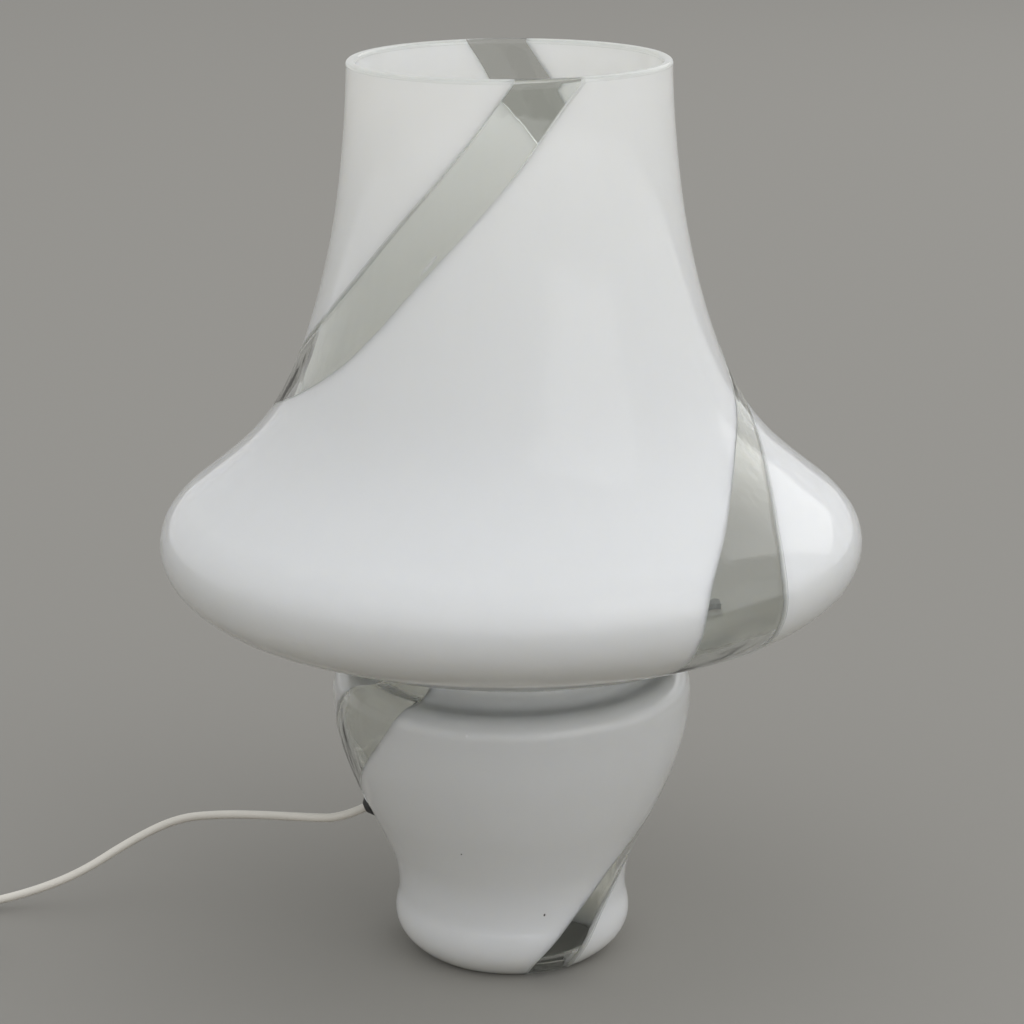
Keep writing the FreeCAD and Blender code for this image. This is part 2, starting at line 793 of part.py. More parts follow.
bulb_start = lamp_base + amount("lamp_cap_height - bulb_neck_overlap")
bulb_stations = [
    (size("bulb_neck_radius"), 0.0, 90.0),
    (size("bulb_radius"), size("bulb_belly_height"), 90.0),
    (0.0, size("bulb_length"), 180.0),
]
bulb_inner = [set_in(station, size("bulb_glass")) for station in bulb_stations]
bulb_foot = Part.makeLine(V(bulb_inner[0][0], 0, 0), V(size("bulb_neck_radius"), 0, 0))
bulb_crown = Part.makeLine(V(0, 0, bulb_inner[2][1]), V(0, 0, size("bulb_length")))
bulb_outline = outline_through(bulb_stations) + outline_through(bulb_inner)
shaped("bulb_glass_envelope", turned_face(bulb_outline + [bulb_foot, bulb_crown]),
       place(z=bulb_start))

stem_foot = "bulb_neck_radius - bulb_glass - thread_fit"
node(turned("stem_turned", [
    ("0", "0"),
    (stem_foot, "0"),
    (stem_foot, "stem_foot_height"),
    ("stem_radius", "stem_cone_height"),
    ("stem_radius", "stem_height"),
    ("0", "stem_height"),
]), "bulb_stem", place(z=bulb_start))

lead_foot = bulb_start + size("stem_height")
lead_top = lead_foot + size("lead_height")
lead_shapes = []
for side in (-1, 1):
    foot_x = side * amount("stem_radius/2")
    route = [(foot_x, 0, lead_foot), (foot_x, 0, lead_foot + size("stem_radius")),
             (side * size("lead_spread"), 0, lead_top)]
    lead_shapes.append(tube_shape(rounded_path(route)[0], size("lead_radius")))
shaped("bulb_lead_wires", Part.Compound(lead_shapes))

filament_end = amount("lead_spread - lead_radius - filament_radius - filament_gap")
filament_arc = Part.Arc(V(-filament_end, 0, lead_top), V(0, filament_end, lead_top),
                        V(filament_end, 0, lead_top)).toShape()
shaped("bulb_filament", tube_shape([filament_arc], size("filament_radius")))

# ---------------------------------------------------------------------------------------------
# Inline rocker switch, built round the middle of its resting face with the cord along X
# ---------------------------------------------------------------------------------------------

switch_place = place(size("switch_place_x"), size("switch_place_y"), 0, Z_AXIS, -90)
half_length = amount("switch_length/2")
cord_line = size("switch_base_height")
cover_top = amount("switch_base_height + switch_cover_height")
floor_top = size("switch_wall")
inner_length = "switch_length - switch_wall - switch_wall"
inner_width = "switch_width - switch_wall - switch_wall"
outer_corner = size("switch_corner")
inner_corner = amount("switch_corner - switch_wall")


def along_cord(radius, length, x, z):
    """A cylinder on the cord's line through the switch."""
    return cylinder(radius, length, place(x, 0, z, Y_AXIS, 90))


def screw_corners():
    """The two housing screws stand in opposite corners."""
    return [(side * size("housing_screw_place"), side * size("housing_screw_side"))
            for side in (-1, 1)]


base_outer = rounded_box("switch_length", "switch_width", "switch_base_height", outer_corner,
                         place())
base_inner = rounded_box(inner_length, inner_width, "switch_base_height", inner_corner,
                         place(z=floor_top))
base_tray = cut(base_outer, base_inner)
base_bosses = [cylinder("housing_boss_radius", "switch_base_height - switch_wall",
                        place(x, y, floor_top)) for x, y in screw_corners()]
clamp_line = half_length - amount("switch_cord_depth - clamp_bar_width/2")
clamp_seat = amount("switch_base_height + cord_diameter/2 + clamp_gap")
post_height = "switch_base_height + cord_diameter/2 + clamp_gap - switch_wall"
clamp_posts = [cylinder("clamp_post_radius", post_height,
                        place(x * clamp_line, y * size("clamp_screw_side"), floor_top))
               for x in (-1, 1) for y in (-1, 1)]
base_solid = fuse(base_tray, *base_bosses, *clamp_posts)
base_holes = [along_cord(CORD_BORE, "switch_length", -half_length, cord_line)]
for x, y in screw_corners():
    base_holes.append(cylinder("housing_screw_radius + thread_fit", "switch_base_height",
                               place(x, y)))
    base_holes.append(cylinder("housing_screw_head + thread_fit",
                               "housing_screw_head_height + housing_screw_recess",
                               place(x, y)))
clamp_hole_bottom = clamp_seat - size("clamp_screw_depth")
for x in (-1, 1):
    for y in (-1, 1):
        base_holes.append(cylinder("clamp_screw_radius + thread_fit", "clamp_screw_depth",
                                   place(x * clamp_line, y * size("clamp_screw_side"),
                                         clamp_hole_bottom)))
node(cut(base_solid, *base_holes), "switch_base", switch_place)

cover_outer = rounded_box("switch_length", "switch_width", "switch_cover_height", outer_corner,
                          place(z=cord_line))
cover_inner = rounded_box(inner_length, inner_width, "switch_cover_height - switch_wall",
                          inner_corner, place(z=cord_line))
cover_bosses = [cylinder("housing_boss_radius", "switch_cover_height - switch_wall",
                         place(x, y, cord_line)) for x, y in screw_corners()]
cheek_drop = "switch_base_height + switch_cover_height - switch_wall - rocker_pivot_height"
cheek_height = cheek_drop + " + cheek_below_pivot"
cheek_bottom = amount("rocker_pivot_height - cheek_below_pivot")
cheek_inner = amount("rocker_width/2 + rocker_side_gap")
cheeks = []
for side in (-1, 1):
    low_y = cheek_inner if side > 0 else -cheek_inner - size("cheek_thickness")
    cheeks.append(box("cheek_length", "cheek_thickness", cheek_height,
                      place(-amount("cheek_length/2"), low_y, cheek_bottom)))
cover_solid = fuse(cut(cover_outer, cover_inner), *cover_bosses, *cheeks)
window = box("rocker_reach + rocker_reach",
             "rocker_width + rocker_side_gap + rocker_side_gap", "switch_wall",
             place(-size("rocker_reach"), -cheek_inner, cover_top - size("switch_wall")))
pin_place = place(0, -amount("rocker_pin_length/2"), size("rocker_pivot_height"), X_AXIS, -90)
cover_holes = [window, cylinder("rocker_pin_radius + rocker_pin_fit", "rocker_pin_length",
                                pin_place),
               along_cord(CORD_BORE, "switch_length", -half_length, cord_line)]
for x, y in screw_corners():
    cover_holes.append(cylinder("housing_screw_radius + thread_fit", "housing_screw_bite",
                                place(x, y, cord_line)))
node(cut(cover_solid, *cover_holes), "switch_cover", switch_place)

pin = cylinder("rocker_pin_radius", "rocker_pin_length")
node(pin, "switch_rocker_pin", switch_place.multiply(pin_place))


def tipped(height, angle):
    """The switch's placement with a piece tipped about the Y line at this height."""
    pivot = place(z=height, axis=Y_AXIS, angle=angle)
    return switch_place.multiply(pivot).multiply(place(z=-height))


pivot_height = size("rocker_pivot_height")
rocker_place = tipped(pivot_height, -size("rocker_tilt"))
rocker_round = cylinder("rocker_reach", "rocker_width",
                        place(0, -amount("rocker_width/2"), pivot_height, X_AXIS, -90))
rocker_rise = size("rocker_reach") * math.tan(math.radians(size("rocker_tilt")))
rocker_slab = padded_outline("rocker_slab", "XZ_Plane", [
    ("0", "0"),
    ("rocker_reach + rocker_reach", "0"),
    ("rocker_reach + rocker_reach", "rocker_foot + rocker_crown + %.4f" % rocker_rise),
    ("rocker_reach", "rocker_foot + rocker_crown"),
    ("0", "rocker_foot + rocker_crown + %.4f" % rocker_rise),
], "rocker_width")
rocker_slab.Placement = place(-size("rocker_reach"), amount("rocker_width/2"),
                              amount("rocker_pivot_height - rocker_foot"))
rocker_block = doc.addObject("Part::Common", "rocker_block")
rocker_block.Base = rocker_round
rocker_block.Tool = rocker_slab
stem_bottom = amount("rocker_pivot_height - rocker_stem_reach")
rocker_stem = cylinder("rocker_stem_radius", "rocker_stem_reach", place(z=stem_bottom))
rocker_bores = [
    cylinder("rocker_pin_radius + rocker_pin_fit", "rocker_pin_length", pin_place),
    cylinder("plunger_radius + plunger_fit", "plunger_bore_depth", place(z=stem_bottom)),
]
node(cut(fuse(rocker_block, rocker_stem), *rocker_bores), "switch_rocker", rocker_place)

plunger_bottom = amount("bridge_height + bridge_sheet/2 + plunger_gap")
plunger_top = plunger_bottom + size("plunger_length")
spring_top = stem_bottom + size("plunger_bore_depth")
node(cylinder("plunger_radius", "plunger_length"), "switch_plunger",
     rocker_place.multiply(place(z=plunger_bottom)))
spring_outer = Part.makeCylinder(size("plunger_radius"), spring_top - plunger_top)
spring_inner = Part.makeCylinder(amount("plunger_radius - plunger_spring_wall"),
                                 spring_top - plunger_top)
shaped("switch_plunger_spring", spring_outer.cut(spring_inner),
       rocker_place.multiply(place(z=plunger_top)))

bridge_place = tipped(size("bridge_height"), size("bridge_tilt"))
node(box("bridge_length", "bridge_width", "bridge_sheet"), "switch_contact_bridge",
     bridge_place.multiply(place(-amount("bridge_length/2"), -amount("bridge_width/2"),
                                 amount("bridge_height - bridge_sheet/2"))))

# The live core's two terminals: one under the bridge's middle, one under its switched end.
bridge_under = amount("bridge_height - bridge_sheet/2 - bridge_gap")
bridge_dip = amount("bridge_length/2") * math.sin(math.radians(size("bridge_tilt")))
terminal_side = size("switch_terminal_side")
block_half = amount("switch_terminal_block/2")
terminals = []
terminal_screws = []
for side, post_x, post_top in ((-1, 0.0, bridge_under),
                               (1, amount("bridge_length/2 - contact_inset"),
                                bridge_under - bridge_dip)):
    block_x = side * size("switch_terminal_place")
    low_x = min(block_x - block_half, post_x - amount("contact_length/2"))
    high_x = max(block_x + block_half, post_x + amount("contact_length/2"))
    plate = Part.makeBox(high_x - low_x, terminal_side + block_half + amount("bridge_width/2"),
                         size("terminal_sheet"),
                         V(low_x, -terminal_side - block_half, floor_top))
    post = Part.makeBox(size("contact_length"), size("bridge_width"), post_top - floor_top,
                        V(post_x - amount("contact_length/2"), -amount("bridge_width/2"),
                          floor_top))
    block = Part.makeBox(2 * block_half, 2 * block_half, 2 * block_half,
                         V(block_x - block_half, -terminal_side - block_half, floor_top))
    screw_hole = Part.makeCylinder(amount("terminal_pinch_radius + thread_fit"), block_half,
                                   V(block_x, -terminal_side, floor_top + block_half))
    terminals.append(plate.fuse([post, block]).cut(screw_hole).removeSplitter())
    pinch_screw = turned("pinch_screw_%d" % (side + 2), [
        ("0", "0"),
        ("terminal_pinch_radius", "0"),
        ("terminal_pinch_radius", "switch_terminal_block/2"),
        ("terminal_pinch_head", "switch_terminal_block/2"),
        ("terminal_pinch_head", "switch_terminal_block/2 + terminal_pinch_head_height"),
        ("0", "switch_terminal_block/2 + terminal_pinch_head_height"),
    ], place(block_x, -terminal_side, floor_top + block_half))
    terminal_screws.append(pinch_screw)
shaped("switch_terminals", Part.Compound(terminals), switch_place)
node(group(*terminal_screws), "switch_terminal_screws", switch_place)

clamp_bars = []
clamp_screws = []
bar_top = clamp_seat + size("clamp_bar_thickness")
screw_bottom = bar_top - amount("clamp_bar_thickness + clamp_screw_depth")
for x in (-1, 1):
    bar = box("clamp_bar_width", "clamp_bar_length", "clamp_bar_thickness",
              place(x * clamp_line - amount("clamp_bar_width/2"),
                    -amount("clamp_bar_length/2"), clamp_seat))
    bar_holes = []
    for y in (-1, 1):
        spot = place(x * clamp_line, y * size("clamp_screw_side"), screw_bottom)
        bar_holes.append(cylinder("clamp_screw_radius + thread_fit",
                                  "clamp_bar_thickness + clamp_screw_depth", spot))
        clamp_screws.append(cylinder("clamp_screw_radius",
                                     "clamp_bar_thickness + clamp_screw_depth", spot))
    clamp_bars.append(cut(bar, *bar_holes))
node(group(*clamp_bars), "switch_cord_clamps", switch_place)
node(group(*clamp_screws), "switch_clamp_screws", switch_place)

housing_screws = []
screw_tip = "switch_base_height + housing_screw_bite - housing_screw_recess"
for number, (x, y) in enumerate(screw_corners()):
    housing_screws.append(turned("housing_screw_%d" % number, [
        ("0", "0"),
        ("housing_screw_head", "0"),
        ("housing_screw_head", "housing_screw_head_height"),
        ("housing_screw_radius", "housing_screw_head_height"),
        ("housing_screw_radius", screw_tip),
        ("0", screw_tip),
    ], place(x, y, size("housing_screw_recess"))))
node(group(*housing_screws), "switch_housing_screws", switch_place)

# Inside the switch the sheath stops at each clamp and the cores go on alone.
sheath_end = half_length - size("switch_cord_depth")
core = amount("cord_diameter/2 - wire_radius")
block_face = size("switch_terminal_place") + block_half
block_middle = floor_top + block_half
straight = size("wire_straight")
live_routes = [[(side * sheath_end, -core, cord_line),
                (side * (sheath_end - straight), -core, cord_line),
                (side * (block_face + straight), -terminal_side, block_middle),
                (side * block_face, -terminal_side, block_middle)] for side in (-1, 1)]
neutral_route = [(-sheath_end, core, cord_line), (straight - sheath_end, core, cord_line),
                 (-block_face, terminal_side, block_middle + core),
                 (0, terminal_side + core / 2, block_middle),
                 (block_face, terminal_side, block_middle + core),
                 (sheath_end - straight, core, cord_line), (sheath_end, core, cord_line)]
switch_wires = [tube_shape(rounded_path(route)[0], size("wire_radius"))
                for route in live_routes + [neutral_route]]
shaped("switch_wires", Part.Compound(switch_wires), switch_place)

# ---------------------------------------------------------------------------------------------
# Mains cord: inside the lamp, to the switch, to the coil, and on to the plug
# ---------------------------------------------------------------------------------------------

cord_radius = amount("cord_diameter/2")
floor_line = cord_radius + size("cord_floor_gap")
cord_start = exit_point + exit_way * amount("grommet_seat_gap + grommet_dome_height")
switch_x = size("switch_place_x")
switch_y = size("switch_place_y")
coil_x = size("coil_place_x")
coil_y = size("coil_place_y")
coil_radius = size("coil_outer_radius")
coil_top = floor_line + size("coil_layer_rise")
plug_x = size("plug_place_x")
plug_tail = size("plug_tail_y")
plug_line = size("plug_axis_height")
one_diameter = size("cord_diameter")

INNER_POINTS = [(0, 0, 172), (-5, 0, 125), (-27, 0, 104)]
LEAD_POINTS = [(-122, 5, 75.5), (-150, 23, 70), (-180, 46, 61.5), (-209, 67, 50.5),
               (-238, 62, 37), (-266, 47, 23), (-294, 45, 12), (-322, 43, 5),
               (-350, 33, 2.9), (-366, 10, 4.2)]
TAIL_POINTS = [(-377, -117.5, 6.5), (-386, -133, 3.6)]
END_POINTS = [(-319, -131, 5.5), (-331, -117, 4.6)]

inner_start = V(0, 0, nipple_bottom + amount(nipple_length) - size("nipple_sheath_depth"))
inner_turn = exit_point - exit_way * size("cord_inner_lead")
lead_turn = cord_start + exit_way * size("cord_exit_straight")
switch_in = switch_y + sheath_end
switch_out = switch_y - sheath_end
lead_last = switch_y + half_length + size("cord_entry_straight")
tail_first = switch_y - half_length - size("cord_leave_straight")
coil_near = coil_y + one_diameter
coil_lead = coil_near + size("coil_straight")

CORD_ROUTES = {
    "cord_inner": [inner_start] + INNER_POINTS + [inner_turn, cord_start],
    "cord_lead": [cord_start, lead_turn] + LEAD_POINTS
                 + [(switch_x, lead_last, cord_line), (switch_x, switch_in, cord_line)],
    "cord_tail": [(switch_x, switch_out, cord_line), (switch_x, tail_first, cord_line)]
                 + TAIL_POINTS
                 + [(coil_x - coil_radius, coil_lead, floor_line),
                    (coil_x - coil_radius, coil_near, floor_line)],
    "cord_end": [(coil_x + coil_radius, coil_near, coil_top),
                 (coil_x + coil_radius, coil_lead, coil_top)]
                + END_POINTS
                + [(plug_x, plug_tail - size("plug_straight"), plug_line),
                   (plug_x, plug_tail, plug_line)],
}

cord_total = 0.0
section = math.pi * cord_radius ** 2
for name, route in CORD_ROUTES.items():
    edges, radii = rounded_path(route)
    solid = tube_shape(edges, cord_radius)
    length = sum(edge.Length for edge in edges)
    cord_total += length
    print("%s: length %.1f, radii %s, volume over section times length %.5f"
          % (name, length, [round(radius, 1) for radius in radii],
             solid.Volume / (section * length)))
    shaped(name, solid)

# The coil spirals in on the floor, climbs a layer in the half turn where it reverses and
# spirals out on top of itself.
layer_turns = size("coil_turns_per_layer")
pitch = size("coil_pitch")
inner_radius = coil_radius - pitch * layer_turns
shrink = pitch / (2 * math.pi)
layer_sweep = 2 * math.pi * layer_turns
QUARTER = math.pi / 2


def coil_state(sweep):
    """Radius and height of the wound cord after this much turning."""
    if sweep <= layer_sweep:
        return coil_radius - shrink * sweep, floor_line
    climb = sweep - layer_sweep
    if climb < math.pi:
        share = climb / math.pi
        height = floor_line + size("coil_layer_rise") * share * share * (3 - 2 * share)
        return inner_radius - shrink * climb * (1 - share), height
    return inner_radius + shrink * (climb - math.pi), coil_top


def coil_point(sweep):
    radius, height = coil_state(sweep)
    angle = math.pi + sweep
    return V(coil_x + radius * math.cos(angle), coil_y + radius * math.sin(angle), height)


def coil_way(sweep):
    """The direction of the wound cord, from two points close by."""
    step = 1e-4
    last = 2 * layer_sweep + math.pi
    way = coil_point(min(sweep + step, last)) - coil_point(max(sweep - step, 0.0))
    return way.normalize()


quarters = round((2 * layer_sweep + math.pi) / QUARTER)
knots = [coil_point(QUARTER * number) for number in range(quarters + 1)]
ways = [coil_way(QUARTER * number) for number in range(quarters + 1)]
ways[0] = -Y_AXIS
ways[-1] = Y_AXIS
coil_edges = [Part.makeLine(V(knots[0].x, coil_near, knots[0].z), knots[0])]
for number in range(quarters):
    coil_edges += biarc(knots[number], ways[number], knots[number + 1], ways[number + 1])
coil_edges.append(Part.makeLine(knots[-1], V(knots[-1].x, coil_near, knots[-1].z)))
coil_solid = tube_shape(coil_edges, cord_radius)
coil_length = sum(edge.Length for edge in coil_edges)
cord_total += coil_length
shaped("cord_coil", coil_solid)

# The least gap between turns, on points along the centre line.
SAMPLES_PER_EDGE = 8
samples = []
run_length = 0.0
for edge in coil_edges:
    for point in edge.discretize(SAMPLES_PER_EDGE + 1)[:-1]:
        samples.append((run_length, point))
        run_length += edge.Length / SAMPLES_PER_EDGE
apart = math.pi * inner_radius / 2
least_gap = min((a - b).Length for i, (la, a) in enumerate(samples)
                for lb, b in samples[i + 1:] if lb - la > apart) - one_diameter
print("cord_coil: length %.1f, least gap between turns %.2f, volume ratio %.5f"
      % (coil_length, least_gap, coil_solid.Volume / (section * coil_length)))
print("whole cord from the lampholder to the plug: %.0f" % cord_total)

# ---------------------------------------------------------------------------------------------
# Cores from the sheath's end up to the lampholder's terminals
# ---------------------------------------------------------------------------------------------

holder_wires = []
head_bottom = insert_bottom - size("terminal_screw_head_height")
for side in (-1, 1):
    offset = side * size("terminal_offset")
    route = [(side * core, 0, inner_start.z), (side * core, 0, inner_start.z + size("wire_rise")),
             (offset, 0, head_bottom - size("wire_drop")), (offset, 0, head_bottom)]
    holder_wires.append(tube_shape(rounded_path(route)[0], size("wire_radius")))
shaped("holder_wires", Part.Compound(holder_wires))

# ---------------------------------------------------------------------------------------------
# Moulded two-pin plug, lying flat beside the coil and pointing along +Y
# ---------------------------------------------------------------------------------------------

relief_end = plug_tail + size("relief_length")
nose = relief_end + size("plug_length")
node(turned("relief_turned", [
    ("0", "0"),
    ("relief_tail_radius", "0"),
    ("relief_head_radius", "relief_length"),
    ("0", "relief_length"),
]), "plug_strain_relief", place(plug_x, plug_tail, plug_line, X_AXIS, -90))

plug_blank = padded_outline("plug_blank", "XY_Plane", [
    ("plug_width/2 - relief_head_radius", "0"),
    ("plug_width/2 + relief_head_radius", "0"),
    ("plug_width", "plug_length - plug_nose_depth"),
    ("plug_width/2 + plug_nose_width/2", "plug_length"),
    ("plug_width/2 - plug_nose_width/2", "plug_length"),
    ("0", "plug_length - plug_nose_depth"),
], "plug_thickness")
plug_blank.Placement = place(plug_x - amount("plug_width/2"), relief_end,
                             plug_line - amount("plug_thickness/2"))
pin_holes = []
pins = []
pin_sleeves = []
for side in (-1, 1):
    pin_x = plug_x + side * amount("pin_spacing/2")
    root = place(pin_x, nose - size("pin_root"), plug_line, X_AXIS, -90)
    pin_holes.append(cylinder("pin_radius + pin_fit", "pin_root", root))
    pins.append(turned("pin_%d" % (side + 2), [
        ("0", "0"),
        ("pin_radius", "0"),
        ("pin_radius", "pin_root + pin_length - pin_radius/2"),
        ("pin_radius/2", "pin_root + pin_length"),
        ("0", "pin_root + pin_length"),
    ], root))
    pin_sleeves.append(ring("pin_sleeve_%d" % (side + 2), "pin_radius + pin_fit",
                            "pin_radius + pin_fit + pin_sleeve_wall", "pin_sleeve_length",
                            place(pin_x, nose, plug_line, X_AXIS, -90)))
node(cut(plug_blank, *pin_holes), "plug_body")
node(group(*pins), "plug_pins")
node(group(*pin_sleeves), "plug_pin_sleeves")

# ---------------------------------------------------------------------------------------------
# Checks and export
# ---------------------------------------------------------------------------------------------

doc.recompute()
for item in doc.Objects:
    if "Invalid" in item.State or "Error" in item.State:
        raise RuntimeError("%s failed: %s" % (item.Label, item.State))
for piece in NODES:
    if piece.Shape.isNull() or not piece.Shape.isValid() or not piece.Shape.Solids:
        raise RuntimeError("%s has no valid solid" % piece.Label)
for piece in NODES:
    piece.Shape.exportStep("parts/%s.step" % piece.Label)
print("%d nodes, %d solids" % (len(NODES), sum(len(piece.Shape.Solids) for piece in NODES)))
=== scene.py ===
# %% [markdown]
# # A mushroom lamp of cased glass
# The lamp is one blown wall of glass: foot, baluster base, hidden waist, mushroom cap and open
# chimney. Two opal panels lie in the wall, with a clear band spiralling up between them on each
# side. The solids of the fittings, the switch and the plug come from the frame; the glass and
# the cord are worked out here, on the same sizes, with a finish of nodes on every piece.

# %% Tools, and the frame that the looks are built around
import json
import bmesh
import bpy
import numpy as np
from mathutils import Matrix, Vector


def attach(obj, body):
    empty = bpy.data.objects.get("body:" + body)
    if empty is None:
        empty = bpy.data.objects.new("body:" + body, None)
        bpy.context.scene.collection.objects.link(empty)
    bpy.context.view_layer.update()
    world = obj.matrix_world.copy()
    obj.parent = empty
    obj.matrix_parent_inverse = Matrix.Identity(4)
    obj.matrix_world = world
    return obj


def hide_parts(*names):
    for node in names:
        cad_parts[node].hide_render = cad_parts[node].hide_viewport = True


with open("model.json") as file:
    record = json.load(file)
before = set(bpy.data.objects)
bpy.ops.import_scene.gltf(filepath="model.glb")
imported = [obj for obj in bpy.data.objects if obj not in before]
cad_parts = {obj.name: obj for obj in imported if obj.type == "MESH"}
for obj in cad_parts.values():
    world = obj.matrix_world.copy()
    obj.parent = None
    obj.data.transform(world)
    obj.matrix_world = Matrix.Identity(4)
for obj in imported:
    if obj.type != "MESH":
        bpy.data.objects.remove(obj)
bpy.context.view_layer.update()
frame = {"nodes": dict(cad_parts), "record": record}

# %% [markdown]
# ## Camera
# The photograph is taken from a little above the rim, looking down about 16 degrees with a long
# lens. The lens follows from how round the rim and the foot look, and the camera leans by a
# fifth of a degree, as the lamp's axis does in the picture.

# %% Camera
FRAME_PIXELS = 1024
FOCAL_PIXELS = 2993.6
SENSOR = 36.0
SHIFT_PIXELS = 1.1
CAMERA_PLACE = (0.0, -1.6713, 0.7441)
LOOK_DOWN = np.radians(15.933)
LEAN = np.radians(-0.2)

camera_data = bpy.data.cameras.new("camera")
camera_data.sensor_width = SENSOR
camera_data.lens = FOCAL_PIXELS / FRAME_PIXELS * SENSOR
camera_data.shift_x = SHIFT_PIXELS / FRAME_PIXELS
camera = bpy.data.objects.new("camera", camera_data)
bpy.context.scene.collection.objects.link(camera)
tilt = Matrix.Rotation(np.pi / 2 - LOOK_DOWN, 4, "X")
camera.matrix_world = Matrix.Translation(CAMERA_PLACE) @ tilt @ Matrix.Rotation(LEAN, 4, "Z")
bpy.context.scene.camera = camera
bpy.context.scene.view_settings.view_transform = "Standard"
print("camera: lens %.1f mm" % camera_data.lens)

# %% [markdown]
# ## Mains cord
# A two-core cord with a round sheath, 5.2 mm thick. It leaves the base through a black grommet,
# sinks to the table beside the lamp, turns forward and runs into an inline switch. The length
# that nobody needs is wound into a flat coil in front of the switch, two layers of three turns,
# and ends in a two-pin plug. A cord is a fixed length of something soft, so each stretch is one
# smooth spline along a few points, and the coil's points come from a formula.

# %% A cord as a smooth spline
CORD_DIAMETER = 0.0052


def cord_piece(name, points):
    """A round tube along a quadratic spline whose control points are the cord's route. The
    bevel is one metre, and each point's radius scales it to the cord, so that bounds are right."""
    curve = bpy.data.curves.new(name, "CURVE")
    curve.dimensions = "3D"
    curve.bevel_depth = 1.0
    curve.bevel_resolution = 5
    curve.resolution_u = 8
    curve.use_fill_caps = True
    spline = curve.splines.new("NURBS")
    route = np.asarray(points, float)
    spline.points.add(len(route) - 1)
    spline.points.foreach_set("co", np.c_[route, np.ones(len(route))].ravel())
    spline.points.foreach_set("radius", np.full(len(route), CORD_DIAMETER / 2))
    spline.order_u = 3
    spline.use_endpoint_u = True
    piece = bpy.data.objects.new(name, curve)
    bpy.context.scene.collection.objects.link(piece)
    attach(piece, "lamp")
    print("%s: %d points" % (name, len(route)))
    return piece


# %% The stretch from the grommet to the switch
EXIT_POINT = np.array([-0.08351, 0.0, 0.08600])
EXIT_WAY = np.array([-0.8968, 0.0, -0.4425])
GROMMET_REACH = 0.0045
STRAIGHT_RUN = 0.016
CORD_START = EXIT_POINT + EXIT_WAY * GROMMET_REACH
LEAD_ROUTE = [
    CORD_START, CORD_START + EXIT_WAY * STRAIGHT_RUN,
    (-0.122, 0.005, 0.0755), (-0.150, 0.023, 0.070), (-0.180, 0.046, 0.0615),
    (-0.209, 0.067, 0.0505), (-0.238, 0.062, 0.037), (-0.266, 0.047, 0.023),
    (-0.294, 0.045, 0.012), (-0.322, 0.043, 0.005), (-0.350, 0.033, 0.0029),
    (-0.366, 0.010, 0.0042), (-0.372, -0.016, 0.010), (-0.372, -0.038, 0.010),
]
lead = cord_piece("lead", LEAD_ROUTE)
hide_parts("cord_lead")

# %% The stretch from the switch to the plug, wound into a coil on its way
COIL_MIDDLE = (-0.352, -0.165)
COIL_RADIUS = 0.0375
COIL_PITCH = 0.0059
FLOOR_LINE = 0.00275
LAYER_TURNS = 3
POINTS_A_TURN = 16


def coil_points():
    """Three turns spiral in on the floor, the cord climbs one thickness in the half turn where
    it reverses, and three turns spiral out on top: radius falls and grows by one pitch a turn."""
    layer = 2 * np.pi * LAYER_TURNS
    turns = 2 * LAYER_TURNS + 0.5
    sweep = np.linspace(0, 2 * layer + np.pi, round(POINTS_A_TURN * turns) + 1)
    shrink = COIL_PITCH / (2 * np.pi)
    inner = COIL_RADIUS - COIL_PITCH * LAYER_TURNS
    climb = np.clip(sweep - layer, 0, np.pi)
    share = climb / np.pi
    outward = np.clip(sweep - layer - np.pi, 0, None)
    radius = np.where(sweep < layer, COIL_RADIUS - shrink * sweep,
                      inner - shrink * climb * (1 - share) + shrink * outward)
    height = FLOOR_LINE + COIL_PITCH * share * share * (3 - 2 * share)
    angle = np.pi + sweep
    return np.c_[COIL_MIDDLE[0] + radius * np.cos(angle),
                 COIL_MIDDLE[1] + radius * np.sin(angle), height]


COIL_TOP = FLOOR_LINE + COIL_PITCH
rest_route = np.vstack([
    [(-0.372, -0.080, 0.010), (-0.372, -0.098, 0.010), (-0.377, -0.1175, 0.0065),
     (-0.386, -0.133, 0.0036), (-0.3895, -0.1478, FLOOR_LINE), (-0.3895, -0.1598, FLOOR_LINE)],
    coil_points(),
    [(-0.3145, -0.1598, COIL_TOP), (-0.3145, -0.1478, COIL_TOP), (-0.319, -0.131, 0.0055),
     (-0.331, -0.117, 0.0046), (-0.336, -0.1015, 0.0072), (-0.336, -0.089, 0.0072)],
])
rest = cord_piece("rest", rest_route)
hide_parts("cord_tail", "cord_coil", "cord_end")

# %% The stretch inside the lamp, from the lampholder down to the grommet
INNER_BEND = 0.022
INNER_ROUTE = [
    (0.0, 0.0, 0.21637), (0.0, 0.0, 0.172), (-0.005, 0.0, 0.125), (-0.027, 0.0, 0.104),
    EXIT_POINT - EXIT_WAY * INNER_BEND, CORD_START,
]
inner_cord = cord_piece("inner_cord", INNER_ROUTE)
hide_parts("cord_inner")

# %% [markdown]
# ## The outline of the glass
# Turned glass could be drawn as a spline and spun. Here the outline is known at fifteen
# stations, each with a radius, a height and a heading, and two tangent arcs join every pair, so
# that the surface is smooth and matches the solid. The inner outline passes the same stations
# one wall thickness further in.

# %% Outline of the wall, outside and inside
WALL = 0.0055
OUTLINE_STEP = 0.0034
STRAIGHT_TURN = 1e-5
LEVEL_TERM = 1e-9
